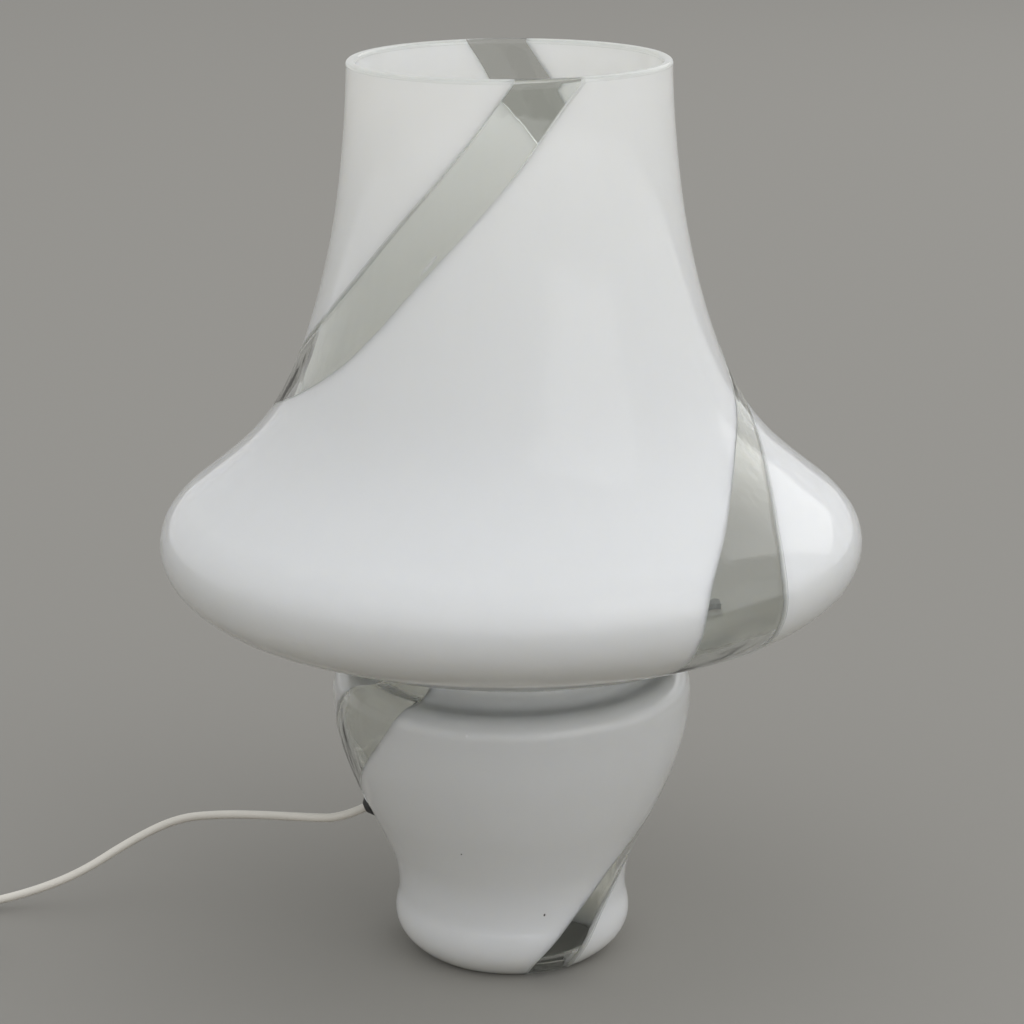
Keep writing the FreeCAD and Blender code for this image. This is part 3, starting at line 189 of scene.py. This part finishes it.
# Each row: radius in mm, height in mm, heading in degrees.
STATIONS = np.array([
    (54.9, 0.0, 28.5), (70.3, 22.0, 90.0), (68.0, 38.5, 90.0), (84.9, 88.8, 63.4),
    (105.7, 162.5, 90.0), (80.0, 187.0, 90.0), (90.2, 198.0, 4.0), (120.0, 201.1, 8.0),
    (176.0, 220.0, 22.9), (203.4, 254.5, 90.0), (185.5, 283.3, 142.7), (139.5, 327.0, 126.0),
    (113.0, 385.5, 107.3), (96.5, 462.0, 97.3), (91.4, 527.25, 91.5),
]) * (0.001, 0.001, 1.0)
FOOT_INSIDE = (0.048, 0.0, 62.0)


def way(heading):
    """The unit vector of a heading: 0 points away from the axis and 90 points up."""
    return np.array([np.cos(np.radians(heading)), np.sin(np.radians(heading))])


def arc(start, corner, end, count):
    """Points on the arc that leaves start towards corner and arrives at end from it. Half of the
    angle it turns is the angle between chord and tangent, and gives the middle of its circle."""
    half = (end - start) / 2
    reach = np.linalg.norm(half)
    turn = np.arccos(min(1.0, reach / np.linalg.norm(corner - start)))
    share = np.linspace(-1, 1, count + 1)[:, None]
    if turn < STRAIGHT_TURN:
        return (start + end) / 2 + half * share
    radius = reach / np.sin(turn)
    outward = corner - (start + end) / 2
    outward /= np.linalg.norm(outward)
    middle = (start + end) / 2 - outward * radius * np.cos(turn)
    return middle + radius * (np.sin(turn * share) * half / reach + np.cos(turn * share) * outward)


def outline(stations, counts=None):
    """Two tangent arcs between each two stations, with equal reach at both ends, and the number
    of points on each arc: one per step of length, or as many as given."""
    points, used = [], []
    for (r0, z0, h0), (r1, z1, h1) in zip(stations, stations[1:]):
        start, end, w0, w1 = np.array([r0, z0]), np.array([r1, z1]), way(h0), way(h1)
        across, both = end - start, w0 + w1
        a, b, c = 2 * (w0 @ w1 - 1), -2 * across @ both, across @ across
        reach = -c / b if abs(a) < LEVEL_TERM else (-b - np.sqrt(b * b - 4 * a * c)) / (2 * a)
        first, last = start + w0 * reach, end - w1 * reach
        joint = (first + last) / 2
        for p, q, s in ((start, first, joint), (joint, last, end)):
            steps = max(3, int(np.linalg.norm(s - p) / OUTLINE_STEP))
            count = counts[len(used)] if counts else steps
            used.append(count)
            points.append(arc(p, q, s, count)[:-1])
    return np.vstack(points + [end[None]]), used


def set_in(stations, depth):
    """Stations moved towards the hollow, at right angles to their headings."""
    turn = np.radians(stations[:, 2])
    return np.c_[stations[:, 0] - np.sin(turn) * depth, stations[:, 1] + np.cos(turn) * depth,
                 stations[:, 2]]


outer_outline, row_counts = outline(STATIONS)
inner_outline, _ = outline(np.vstack([FOOT_INSIDE, set_in(STATIONS[1:], WALL)]), row_counts)
steps = np.linalg.norm(np.diff(outer_outline, axis=0), axis=1)
climb = np.r_[0, np.cumsum(steps)]
print("outline: %d points, %.0f mm long" % (len(climb), climb[-1] * 1000))

# %% The rounded lip on top
LIP_ROWS = 6
LIP_STEP = 0.0007


def with_lip(outside, inside):
    """Both outlines carried on over the rim in a half circle, to meet at its top."""
    middle, half = (outside[-1] + inside[-1]) / 2, (outside[-1] - inside[-1]) / 2
    up = np.array([-half[1], half[0]])
    angle = np.linspace(0, np.pi / 2, LIP_ROWS + 1)[1:, None]
    return (np.vstack([outside, middle + half * np.cos(angle) + up * np.sin(angle)]),
            np.vstack([inside, middle - half * np.cos(angle) + up * np.sin(angle)]))


lip_outer, lip_inner = with_lip(outer_outline, inner_outline)
lip_climb = np.r_[climb, climb[-1] + np.cumsum([LIP_STEP] * LIP_ROWS)]

# %% [markdown]
# ## The two clear bands
# While the glass was hot it was twisted, so the clear bands run up it as a spiral. The twist is
# uneven, and the two bands are only roughly half a turn apart. So the middle and the width of
# each are read at about twenty places up the outline, and a smooth curve joins them.

# %% Where the bands lie: angle round the axis from the front, by length up the outline
# Each row: length up the outline in mm, middle in degrees, width in degrees.
LEFT_BAND = np.array([
    (0, -160, 27), (45, -136, 20), (80, -109, 24), (134, -77, 29), (181, -54.5, 30),
    (215, -46, 24), (330, 37, 18), (357, 38, 17), (381, 39.5, 16), (419, 49.5, 15),
    (441, 58.5, 16), (461, 69.5, 17.5), (492, 94, 21), (530, 115, 25), (560, 129, 25),
    (598, 147.5, 24.5), (641, 170, 25), (667, 181, 23), (676, 185, 23),
])
RIGHT_BAND = np.array([
    (0, 21, 26), (20, 24, 23), (34, 33.5, 20), (45, 43.5, 20), (59, 56, 21), (80, 70, 24),
    (134, 102, 29), (181, 125, 30), (215, 134, 24), (330, 217, 18), (381, 220, 16),
    (419, 230, 15), (461, 249.5, 18), (492, 277, 27), (510, 289, 31), (534, 303, 28),
    (560, 316, 25), (598, 335, 24), (624, 348.5, 23.5), (666, 369, 23.5), (676, 374, 24.5),
])


def smooth(knots, values, at):
    """A cubic through the knots whose slope at each is the mean of its neighbours' slopes."""
    slope = np.gradient(values, knots)
    k = np.clip(np.searchsorted(knots, at) - 1, 0, len(knots) - 2)
    run = knots[k + 1] - knots[k]
    t = (at - knots[k]) / run
    return (values[k] * (1 + 2 * t) * (1 - t) ** 2 + values[k + 1] * t * t * (3 - 2 * t)
            + run * (slope[k] * t * (1 - t) ** 2 - slope[k + 1] * t * t * (1 - t)))


def band_edges(band):
    """Both edges of a band on every row of the outline, as angles."""
    place = np.clip(lip_climb * 1000, 0, band[-1, 0])
    middle = np.radians(smooth(band[:, 0], band[:, 1], place))
    half = np.radians(smooth(band[:, 0], band[:, 2], place)) / 2
    return middle - half, middle + half


EDGES = [band_edges(band) for band in (LEFT_BAND, RIGHT_BAND)]
print("a band turns %.0f degrees from foot to rim" % np.degrees(EDGES[0][0][-1] - EDGES[0][0][0]))

# %% [markdown]
# ## A wall of glass on a grid
# Both the opal panels and the clear glass are parts of the same wall, so one function makes
# them: a grid of rows up the outline and columns round the axis, once outside and once inside,
# with faces only where this piece has glass and a closing face wherever they stop.

# %% Turning rows and columns into a closed wall
SAME_PLACE = 2e-6
NO_LENGTH = 1e-6
SHARP_EDGE = np.radians(40)


def wall_piece(name, outside, inside, turns, keep):
    """x = radius sin(turn), y = -radius cos(turn), z = height, for the outer and inner sheet.
    Cells in keep get a face on both sheets, and an edge between kept and empty gets a face
    across the wall. The columns close into a ring."""
    rows, columns = turns.shape

    def sheet(profile):
        radius, height = profile[:, :1], profile[:, 1:]
        return np.stack([radius * np.sin(turns), -radius * np.cos(turns),
                         np.repeat(height, columns, 1)], -1).reshape(-1, 3)

    number = np.arange(rows * columns).reshape(rows, columns)
    right = np.roll(number, -1, 1)
    cell = np.stack([number[:-1], right[:-1], right[1:], number[1:]], -1)
    outer_faces = cell[keep]
    inner_faces = outer_faces[:, ::-1] + rows * columns
    padded = np.vstack([np.zeros((1, columns), bool), keep, np.zeros((1, columns), bool)])
    level = np.argwhere(padded[1:] != padded[:-1])
    ends = np.stack([number[level[:, 0], level[:, 1]], right[level[:, 0], level[:, 1]]], -1)
    upright = np.argwhere(keep != np.roll(keep, 1, 1))
    sides = np.stack([number[upright[:, 0], upright[:, 1]],
                      number[upright[:, 0] + 1, upright[:, 1]]], -1)
    edges = np.vstack([ends, sides])
    across = np.hstack([edges, edges[:, ::-1] + rows * columns])
    faces = np.vstack([outer_faces, inner_faces, across])
    used, faces = np.unique(faces, return_inverse=True)
    mesh = bpy.data.meshes.new(name)
    points = np.vstack([sheet(outside), sheet(inside)])[used]
    mesh.from_pydata(points.tolist(), [], faces.reshape(-1, 4).tolist())
    return finished(name, mesh)


def finished(name, mesh):
    """Merges doubled points, drops faces without area, points the rest outwards and shades it."""
    work = bmesh.new()
    work.from_mesh(mesh)
    bmesh.ops.remove_doubles(work, verts=work.verts, dist=SAME_PLACE)
    bmesh.ops.dissolve_degenerate(work, edges=work.edges, dist=NO_LENGTH)
    bmesh.ops.recalc_face_normals(work, faces=work.faces)
    work.to_mesh(mesh)
    work.free()
    mesh.shade_smooth()
    mesh.set_sharp_from_angle(angle=SHARP_EDGE)
    piece = bpy.data.objects.new(name, mesh)
    bpy.context.scene.collection.objects.link(piece)
    print("%s: %d faces" % (name, len(mesh.polygons)))
    return piece


def columns_between(low, high, count):
    """Angles from low to high on every row, without the last one, which starts the next part."""
    return low[:, None] + (high - low)[:, None] * (np.arange(count) / count)[None]


# %% The two opal panels
OPAL_DEPTH = 0.0003
OPAL_FOOT = 0.0012
OPAL_TOP = 0.5288
PANEL_COLUMNS = 72


def opal_panels():
    """The wall between one band and the next, a little inside both surfaces of the clear glass,
    from a millimetre over the foot's ring to a millimetre under the top of the lip."""
    inward = OPAL_DEPTH / WALL
    outside = lip_outer + (lip_inner - lip_outer) * inward
    inside = lip_inner + (lip_outer - lip_inner) * inward
    parts, keep = [], []
    for (low, high), (next_low, _), turn in zip(EDGES, EDGES[::-1], (0.0, 2 * np.pi)):
        parts += [low[:, None], columns_between(high, next_low + turn, PANEL_COLUMNS)]
        keep += [False] + [True] * PANEL_COLUMNS
    kept = np.tile(keep, (len(lip_climb) - 1, 1))
    kept[outside[1:, 1] > OPAL_TOP] = False
    kept[outside[1:, 1] < OPAL_FOOT] = False
    return wall_piece("opal_panels", outside, inside, np.hstack(parts), kept)


opal = opal_panels()

# %% The clear bands and the clear lip
BAND_COLUMNS = 18
BAND_LAP = 0.0010
RING_LAP = 0.002


def clear_glass():
    """Both bands over the whole height, each lapping a millimetre over the panels beside it,
    joined at the top by the clear ring of the lip."""
    lap = BAND_LAP / lip_outer[:, 0]
    parts, keep = [], []
    for (low, high), (next_low, _), turn in zip(EDGES, EDGES[::-1], (0.0, 2 * np.pi)):
        parts += [columns_between(low - lap, high + lap, BAND_COLUMNS),
                  columns_between(high + lap, next_low - lap + turn, PANEL_COLUMNS)]
        keep += [True] * BAND_COLUMNS + [False] * PANEL_COLUMNS
    kept = np.tile(keep, (len(lip_climb) - 1, 1))
    kept[lip_outer[:-1, 1] > OPAL_TOP - RING_LAP] = True
    return wall_piece("clear_bands", lip_outer, lip_inner, np.hstack(parts), kept)


clear = clear_glass()

# %% The cord's hole through the clear band
HOLE_RADIUS = 0.005
DRILL_LENGTH = 0.03


def drilled(piece, place, along, radius, length):
    """Cuts a round hole through the piece with a boolean, which is applied."""
    work = bmesh.new()
    turn = Vector(along).to_track_quat("Z", "Y").to_matrix().to_4x4()
    bmesh.ops.create_cone(work, cap_ends=True, segments=48, radius1=radius, radius2=radius,
                          depth=length, matrix=Matrix.Translation(place) @ turn)
    mesh = bpy.data.meshes.new("drill")
    work.to_mesh(mesh)
    work.free()
    drill = bpy.data.objects.new("drill", mesh)
    bpy.context.scene.collection.objects.link(drill)
    hole = piece.modifiers.new("hole", "BOOLEAN")
    hole.operation, hole.solver, hole.object = "DIFFERENCE", "EXACT", drill
    ready = piece.evaluated_get(bpy.context.evaluated_depsgraph_get())
    result = bpy.data.meshes.new_from_object(ready)
    piece.modifiers.remove(hole)
    piece.data = result
    bpy.data.objects.remove(drill)
    print("%s drilled: %d faces" % (piece.name, len(result.polygons)))


drilled(clear, Vector(EXIT_POINT - EXIT_WAY * WALL / 2), EXIT_WAY, HOLE_RADIUS, DRILL_LENGTH)

# %% Lenses on the opal: a flat bubble beside a band, painted white as its highlight, a painted highlight dot and two dark specks
# Each row: place up the outline in mm, turn in degrees, length and width in mm, lean in degrees.
SEEDS_AND_HIGHLIGHTS = {
    # The flat bubble is painted white, as the highlight it shows.
    "bubble_highlight_by_band": (574, -25.5, 15.0, 1.7, 38),
    # The bright dot is a white lens, a painted highlight on the shoulder of the base.
    "painted_highlight_dot": (176, -14, 1.9, 1.6, 0),
    "dark_speck_high": (92, -20.5, 1.1, 0.9, 20),
    "dark_speck_low": (46, 16, 1.6, 1.1, 10),
}
LENS_HALF_HEIGHT = 0.00022


def lens_mark(name, place, turn, length, width, lean):
    """A flat lens that lies on the opal, half sunk in it, under the level of the clear skin."""
    row = int(np.searchsorted(climb * 1000, place))
    along = outer_outline[row] - outer_outline[row - 1]
    slope = np.arctan2(along[1], along[0])
    radius, height = outer_outline[row] + OPAL_DEPTH * np.array([-np.sin(slope), np.cos(slope)])
    angle = np.radians(turn)
    out = Vector((np.sin(angle), -np.cos(angle), 0))
    up = (out * np.cos(slope) + Vector((0, 0, np.sin(slope)))).normalized()
    side = Vector((np.cos(angle), np.sin(angle), 0))
    frame_of_lens = Matrix((side, up, side.cross(up))).transposed().to_4x4()
    work = bmesh.new()
    shape = Matrix.Diagonal((width / 2000, length / 2000, LENS_HALF_HEIGHT, 1))
    lie = Matrix.Translation(out * radius + Vector((0, 0, height))) @ frame_of_lens
    bmesh.ops.create_uvsphere(work, u_segments=24, v_segments=12, radius=1.0,
                              matrix=lie @ Matrix.Rotation(-np.radians(lean), 4, "Z") @ shape)
    mesh = bpy.data.meshes.new(name)
    work.to_mesh(mesh)
    work.free()
    piece = finished(name, mesh)
    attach(piece, "lamp")
    return piece


seeds_and_highlights = {name: lens_mark(name, *facts) for name, facts in SEEDS_AND_HIGHLIGHTS.items()}

# %% Both ride on the lamp and stand for its glass
for piece, slot in ((opal, "opal_cased_glass"), (clear, "clear_glass")):
    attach(piece, "lamp")
    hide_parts("glass_body")

# %% [markdown]
# ## Sums on a surface
# A material's pattern is a sum of numbers that vary over the surface. Written as nodes it is
# hard to read, so a small class lets Python's own signs add the Math nodes.

# %% A number that varies over a surface
class Field:
    """A socket that carries a number, with arithmetic that adds the nodes it needs."""

    def __init__(self, tree, socket):
        self.tree, self.socket = tree, socket

    def sum(self, operation, first, second):
        node = self.tree.nodes.new("ShaderNodeMath")
        node.operation = operation
        for inlet, value in zip(node.inputs, (first, second)):
            if isinstance(value, Field):
                self.tree.links.new(value.socket, inlet)
            else:
                inlet.default_value = value
        return Field(self.tree, node.outputs[0])

    def __add__(self, other):
        return self.sum("ADD", self, other)

    def __radd__(self, other):
        return self.sum("ADD", other, self)

    def __mul__(self, other):
        return self.sum("MULTIPLY", self, other)

    def __rmul__(self, other):
        return self.sum("MULTIPLY", other, self)

    def __pow__(self, other):
        return self.sum("POWER", self, other)


# %% A finish under construction
class Finish:
    """A material with its shader, and one way to add any other node."""

    def __init__(self, name, **constants):
        self.material = bpy.data.materials.new(name)
        self.material.use_nodes = True
        self.tree = self.material.node_tree
        self.shader = self.tree.nodes["Principled BSDF"]
        for socket, value in constants.items():
            self.shader.inputs[socket.replace("_", " ")].default_value = value
        self.place = self.node("ShaderNodeTexCoord", {}, {}, "Object")

    def node(self, kind, settings, sockets, outlet=0):
        """A node with its settings made first, then its sockets' values or links."""
        node = self.tree.nodes.new(kind)
        for name, value in settings.items():
            setattr(node, name, value)
        for name, value in sockets.items():
            if isinstance(value, Field):
                self.tree.links.new(value.socket, node.inputs[name])
            else:
                node.inputs[name].default_value = value
        return Field(self.tree, node.outputs[outlet])

    def noise(self, scale, detail=2.0, rough=0.5, place=None):
        return self.node("ShaderNodeTexNoise", {}, {"Vector": place or self.place, "Scale": scale,
                                                    "Detail": detail, "Roughness": rough}, "Fac")

    def stretched(self, x, y, z):
        """The place on the object with each axis scaled."""
        return self.node("ShaderNodeMapping", {}, {"Vector": self.place, "Scale": (x, y, z)})

    def mix(self, share, first, second):
        """A colour between two colours."""
        node = self.tree.nodes.new("ShaderNodeMix")
        node.data_type = "RGBA"
        for inlet, value in zip((0, 6, 7), (share, first, second)):
            if isinstance(value, Field):
                self.tree.links.new(value.socket, node.inputs[inlet])
            else:
                node.inputs[inlet].default_value = value
        return Field(self.tree, node.outputs[2])

    def bump(self, height, distance):
        return self.node("ShaderNodeBump", {}, {"Height": height, "Distance": distance,
                                                "Strength": 1.0}, "Normal")

    def feed(self, **fields):
        for socket, field in fields.items():
            self.tree.links.new(field.socket, self.shader.inputs[socket.replace("_", " ")])
        return self


# %% [markdown]
# ## Opal glass
# Opal glass is white all through and lets some light pass, so the inside of the lamp glows a
# little when the outside is lit. Its surface is fire-polished: glossy, with slow waves from the
# blowing, and the white varies in clouds by a few hundredths.

# %% Opal finish
def opal_finish():
    finish = Finish("opal_cased_glass", IOR=1.5, Subsurface_Weight=1.0,
                    Subsurface_Radius=(1.0, 0.96, 0.86), Subsurface_Scale=0.026)
    clouds = finish.noise(7.0, 3.0, 0.55)
    streaks = finish.noise(9.0, 2.0, 0.5, finish.stretched(6.0, 6.0, 0.8))
    tint = clouds * 0.6 + streaks * 0.4
    colour = finish.mix(tint, (0.815, 0.835, 0.805, 1), (0.855, 0.875, 0.85, 1))
    waves = finish.noise(14.0, 1.0) * 0.8 + finish.noise(60.0, 1.0) * 0.05
    return finish.feed(Base_Color=colour, Roughness=0.05 + 0.05 * clouds,
                       Normal=finish.bump(waves, 0.0009)).material


opal.data.materials.append(opal_finish())

# %% [markdown]
# ## Clear glass
# The bands are clear crystal with the faintest grey-green, and bend what lies behind them. A
# bump of slow waves and a few drawn-out cords in the glass give the wavering streaks.

# %% Clear finish
def clear_finish():
    finish = Finish("clear_glass", IOR=1.47, Transmission_Weight=1.0, Roughness=0.0)
    drawn = finish.noise(5.0, 2.0, 0.5, finish.stretched(9.0, 9.0, 2.2))
    waves = finish.noise(16.0, 1.5) * 0.6 + drawn * 0.6
    tint = finish.mix(drawn, (0.90, 0.93, 0.90, 1), (0.96, 0.97, 0.95, 1))
    return finish.feed(Base_Color=tint, Normal=finish.bump(waves, 0.0007)).material


clear.data.materials.append(clear_finish())

# %% [markdown]
# ## Finishes of the fittings
# Each kind of stuff is one function of a few numbers. Plastic, rubber, porcelain and dark glass
# have a fine grain and clouds in the gloss; metal has scratches drawn out along one way.

# %% Moulded, drawn and cast finishes
GRAIN_DEPTH = 0.00003
SCRATCH_DEPTH = 0.00002
DRAWN_OUT = (1.0, 1.0, 14.0)
FILM_SHARE = 0.5


def moulded(name, colour, rough, grain=900.0, bloom=0.0):
    """A moulded or cast stuff: a fine grain in the surface, and clouds in the gloss."""
    finish = Finish(name, IOR=1.5)
    grains, clouds = finish.noise(grain, 2.0), finish.noise(45.0, 3.0, 0.6)
    dark = [0.93 * c for c in colour] + [1]
    pale = [min(1.0, c * 1.05 + bloom) for c in colour] + [1]
    return finish.feed(Base_Color=finish.mix(clouds, dark, pale),
                       Roughness=rough - 0.06 + 0.12 * clouds,
                       Normal=finish.bump(grains, GRAIN_DEPTH)).material


def metal(name, colour, rough):
    """Metal: scratches drawn out along one way, duller clouds, and a darker film in patches."""
    finish = Finish(name, Metallic=1.0)
    scratches = finish.noise(160.0, 3.0, 0.7, finish.stretched(*DRAWN_OUT))
    film = finish.noise(70.0, 4.0, 0.6)
    dark = [FILM_SHARE * c for c in colour] + [1]
    colour = finish.mix(film ** 3.0, list(colour) + [1], dark)
    return finish.feed(Base_Color=colour, Roughness=rough - 0.08 + 0.1 * scratches + 0.08 * film,
                       Normal=finish.bump(scratches, SCRATCH_DEPTH)).material


FINISHES = {
    "black_rubber": moulded("black_rubber", (0.018, 0.018, 0.019), 0.42, bloom=0.004),
    "grey_rubber": moulded("grey_rubber", (0.36, 0.36, 0.35), 0.65),
    "zinc_steel": metal("zinc_steel", (0.62, 0.62, 0.60), 0.34),
    "black_plastic": moulded("black_plastic", (0.022, 0.022, 0.024), 0.36),
    "porcelain": moulded("porcelain", (0.74, 0.71, 0.64), 0.30, grain=300.0),
    "brass": metal("brass", (0.78, 0.56, 0.24), 0.26),
    "lamp_cap_aluminium": metal("lamp_cap_aluminium", (0.80, 0.80, 0.80), 0.22),
    "black_glass": moulded("black_glass", (0.01, 0.01, 0.011), 0.12, grain=80.0),
    "tungsten": metal("tungsten", (0.30, 0.29, 0.28), 0.4),
    "white_cord": moulded("white_cord", (0.66, 0.64, 0.59), 0.38, grain=700.0),
    "white_plastic": moulded("white_plastic", (0.68, 0.66, 0.61), 0.30),
    "core_insulation": moulded("core_insulation", (0.13, 0.035, 0.015), 0.4),
    "plated_pins": metal("plated_pins", (0.78, 0.77, 0.74), 0.16),
}

# %% The bulb's own clear glass
bulb_glass = Finish("bulb_glass", IOR=1.45, Transmission_Weight=1.0)
bulb_glass.feed(Base_Color=bulb_glass.mix(bulb_glass.noise(20.0), (0.95, 0.96, 0.95, 1),
                                          (0.99, 0.99, 0.98, 1)),
                Normal=bulb_glass.bump(bulb_glass.noise(25.0), 0.0003))
FINISHES["clear_glass"] = bulb_glass.material

# %% The dark specks are dark; the bubble and the dot are white, as painted highlights
SEED_AND_HIGHLIGHT_FINISHES = {"white": moulded("painted_highlight_white", (0.90, 0.91, 0.90), 0.12, grain=60.0),
                 "dark": moulded("dark_seed", (0.05, 0.045, 0.04), 0.3, grain=60.0)}
for name, piece in seeds_and_highlights.items():
    piece.data.materials.append(SEED_AND_HIGHLIGHT_FINISHES["dark" if name.startswith("dark") else "white"])

# %% Each solid of the frame takes the finish of its slot
for part in frame["record"]["subparts"]:
    node = frame["nodes"][part["node"]]
    if part["material_slot"] in FINISHES:
        node.data.materials.clear()
        node.data.materials.append(FINISHES[part["material_slot"]])
for piece in (lead, rest, inner_cord):
    piece.data.materials.append(FINISHES["white_cord"])
print("finishes of the solids:", len(FINISHES))

# %% [markdown]
# ## Stage and light
# A plain floor runs out of the picture on every side. It looks paler to the camera, in
# reflections and through glass than it throws light back, so that the underside keeps its
# shade. The world brightens smoothly towards the front, the right and the top, and two large
# weak lamps stand to the right, one in front and one behind.

# %% Floor
FLOOR_REACH = 14
FLOOR_LEVEL = -0.0002
SHOWN_COLOUR = (0.27, 0.264, 0.248, 1)
LIT_COLOUR = (0.19, 0.170, 0.135, 1)
floor_corners = [(x * FLOOR_REACH, y * FLOOR_REACH, 0) for x, y in ((-1, -1), (1, -1), (1, 1), (-1, 1))]
floor_mesh = bpy.data.meshes.new("floor")
floor_mesh.from_pydata(floor_corners, [], [(0, 1, 2, 3)])
floor = bpy.data.objects.new("floor", floor_mesh)
floor.location.z = FLOOR_LEVEL
bpy.context.scene.collection.objects.link(floor)


def floor_finish():
    """One colour for rays that show the floor, and a darker one for the light it throws back."""
    finish = Finish("floor")
    tree = finish.tree
    path = tree.nodes.new("ShaderNodeLightPath")
    seen = [Field(tree, path.outputs[name])
            for name in ("Is Camera Ray", "Is Glossy Ray", "Is Transmission Ray")]
    shown = finish.node("ShaderNodeMath", {"operation": "MAXIMUM"}, {0: seen[0], 1: seen[1]})
    shown = finish.node("ShaderNodeMath", {"operation": "MAXIMUM"}, {0: shown, 1: seen[2]})
    pale = finish.node("ShaderNodeBsdfDiffuse", {}, {"Color": SHOWN_COLOUR})
    dark = finish.node("ShaderNodeBsdfDiffuse", {}, {"Color": LIT_COLOUR})
    blend = finish.node("ShaderNodeMixShader", {}, {0: shown, 1: dark, 2: pale})
    tree.links.new(blend.socket, tree.nodes["Material Output"].inputs["Surface"])
    return finish.material


floor.data.materials.append(floor_finish())

# %% World, brighter towards the front, the right and the top
WORLD_LEVEL = 0.68
WORLD_RISE = 0.62
BRIGHT_WAY = Vector((0.50, -0.62, 0.60))
world = bpy.data.worlds.new("world")
bpy.context.scene.world = world
world.use_nodes = True


def world_light():
    """Level + rise (1 + cos(angle to the bright way))^2 / 4, one smooth sweep with no edge."""
    tree = world.node_tree
    way_seen = tree.nodes.new("ShaderNodeTexCoord")
    toward = tree.nodes.new("ShaderNodeVectorMath")
    toward.operation = "DOT_PRODUCT"
    tree.links.new(way_seen.outputs["Generated"], toward.inputs[0])
    toward.inputs[1].default_value = BRIGHT_WAY
    level = WORLD_LEVEL + (0.5 + 0.5 * Field(tree, toward.outputs["Value"])) ** 2.0 * WORLD_RISE
    tree.links.new(level.socket, tree.nodes["Background"].inputs["Color"])


world_light()

# %% Lamps
LAMP_AIM = Vector((0, 0, 0.25))


def soft_lamp(name, place, size, power):
    """A large square lamp that faces the object."""
    data = bpy.data.lights.new(name, "AREA")
    data.shape, data.size, data.energy = "SQUARE", size, power
    lamp = bpy.data.objects.new(name, data)
    lamp.location = place
    lamp.rotation_euler = (LAMP_AIM - Vector(place)).to_track_quat("-Z", "Y").to_euler()
    bpy.context.scene.collection.objects.link(lamp)
    print("%s: %.0f W" % (name, power))


soft_lamp("key", (3.2, -3.4, 3.4), 4.5, 40.0)
soft_lamp("back", (2.6, 3.4, 3.0), 3.5, 30.0)
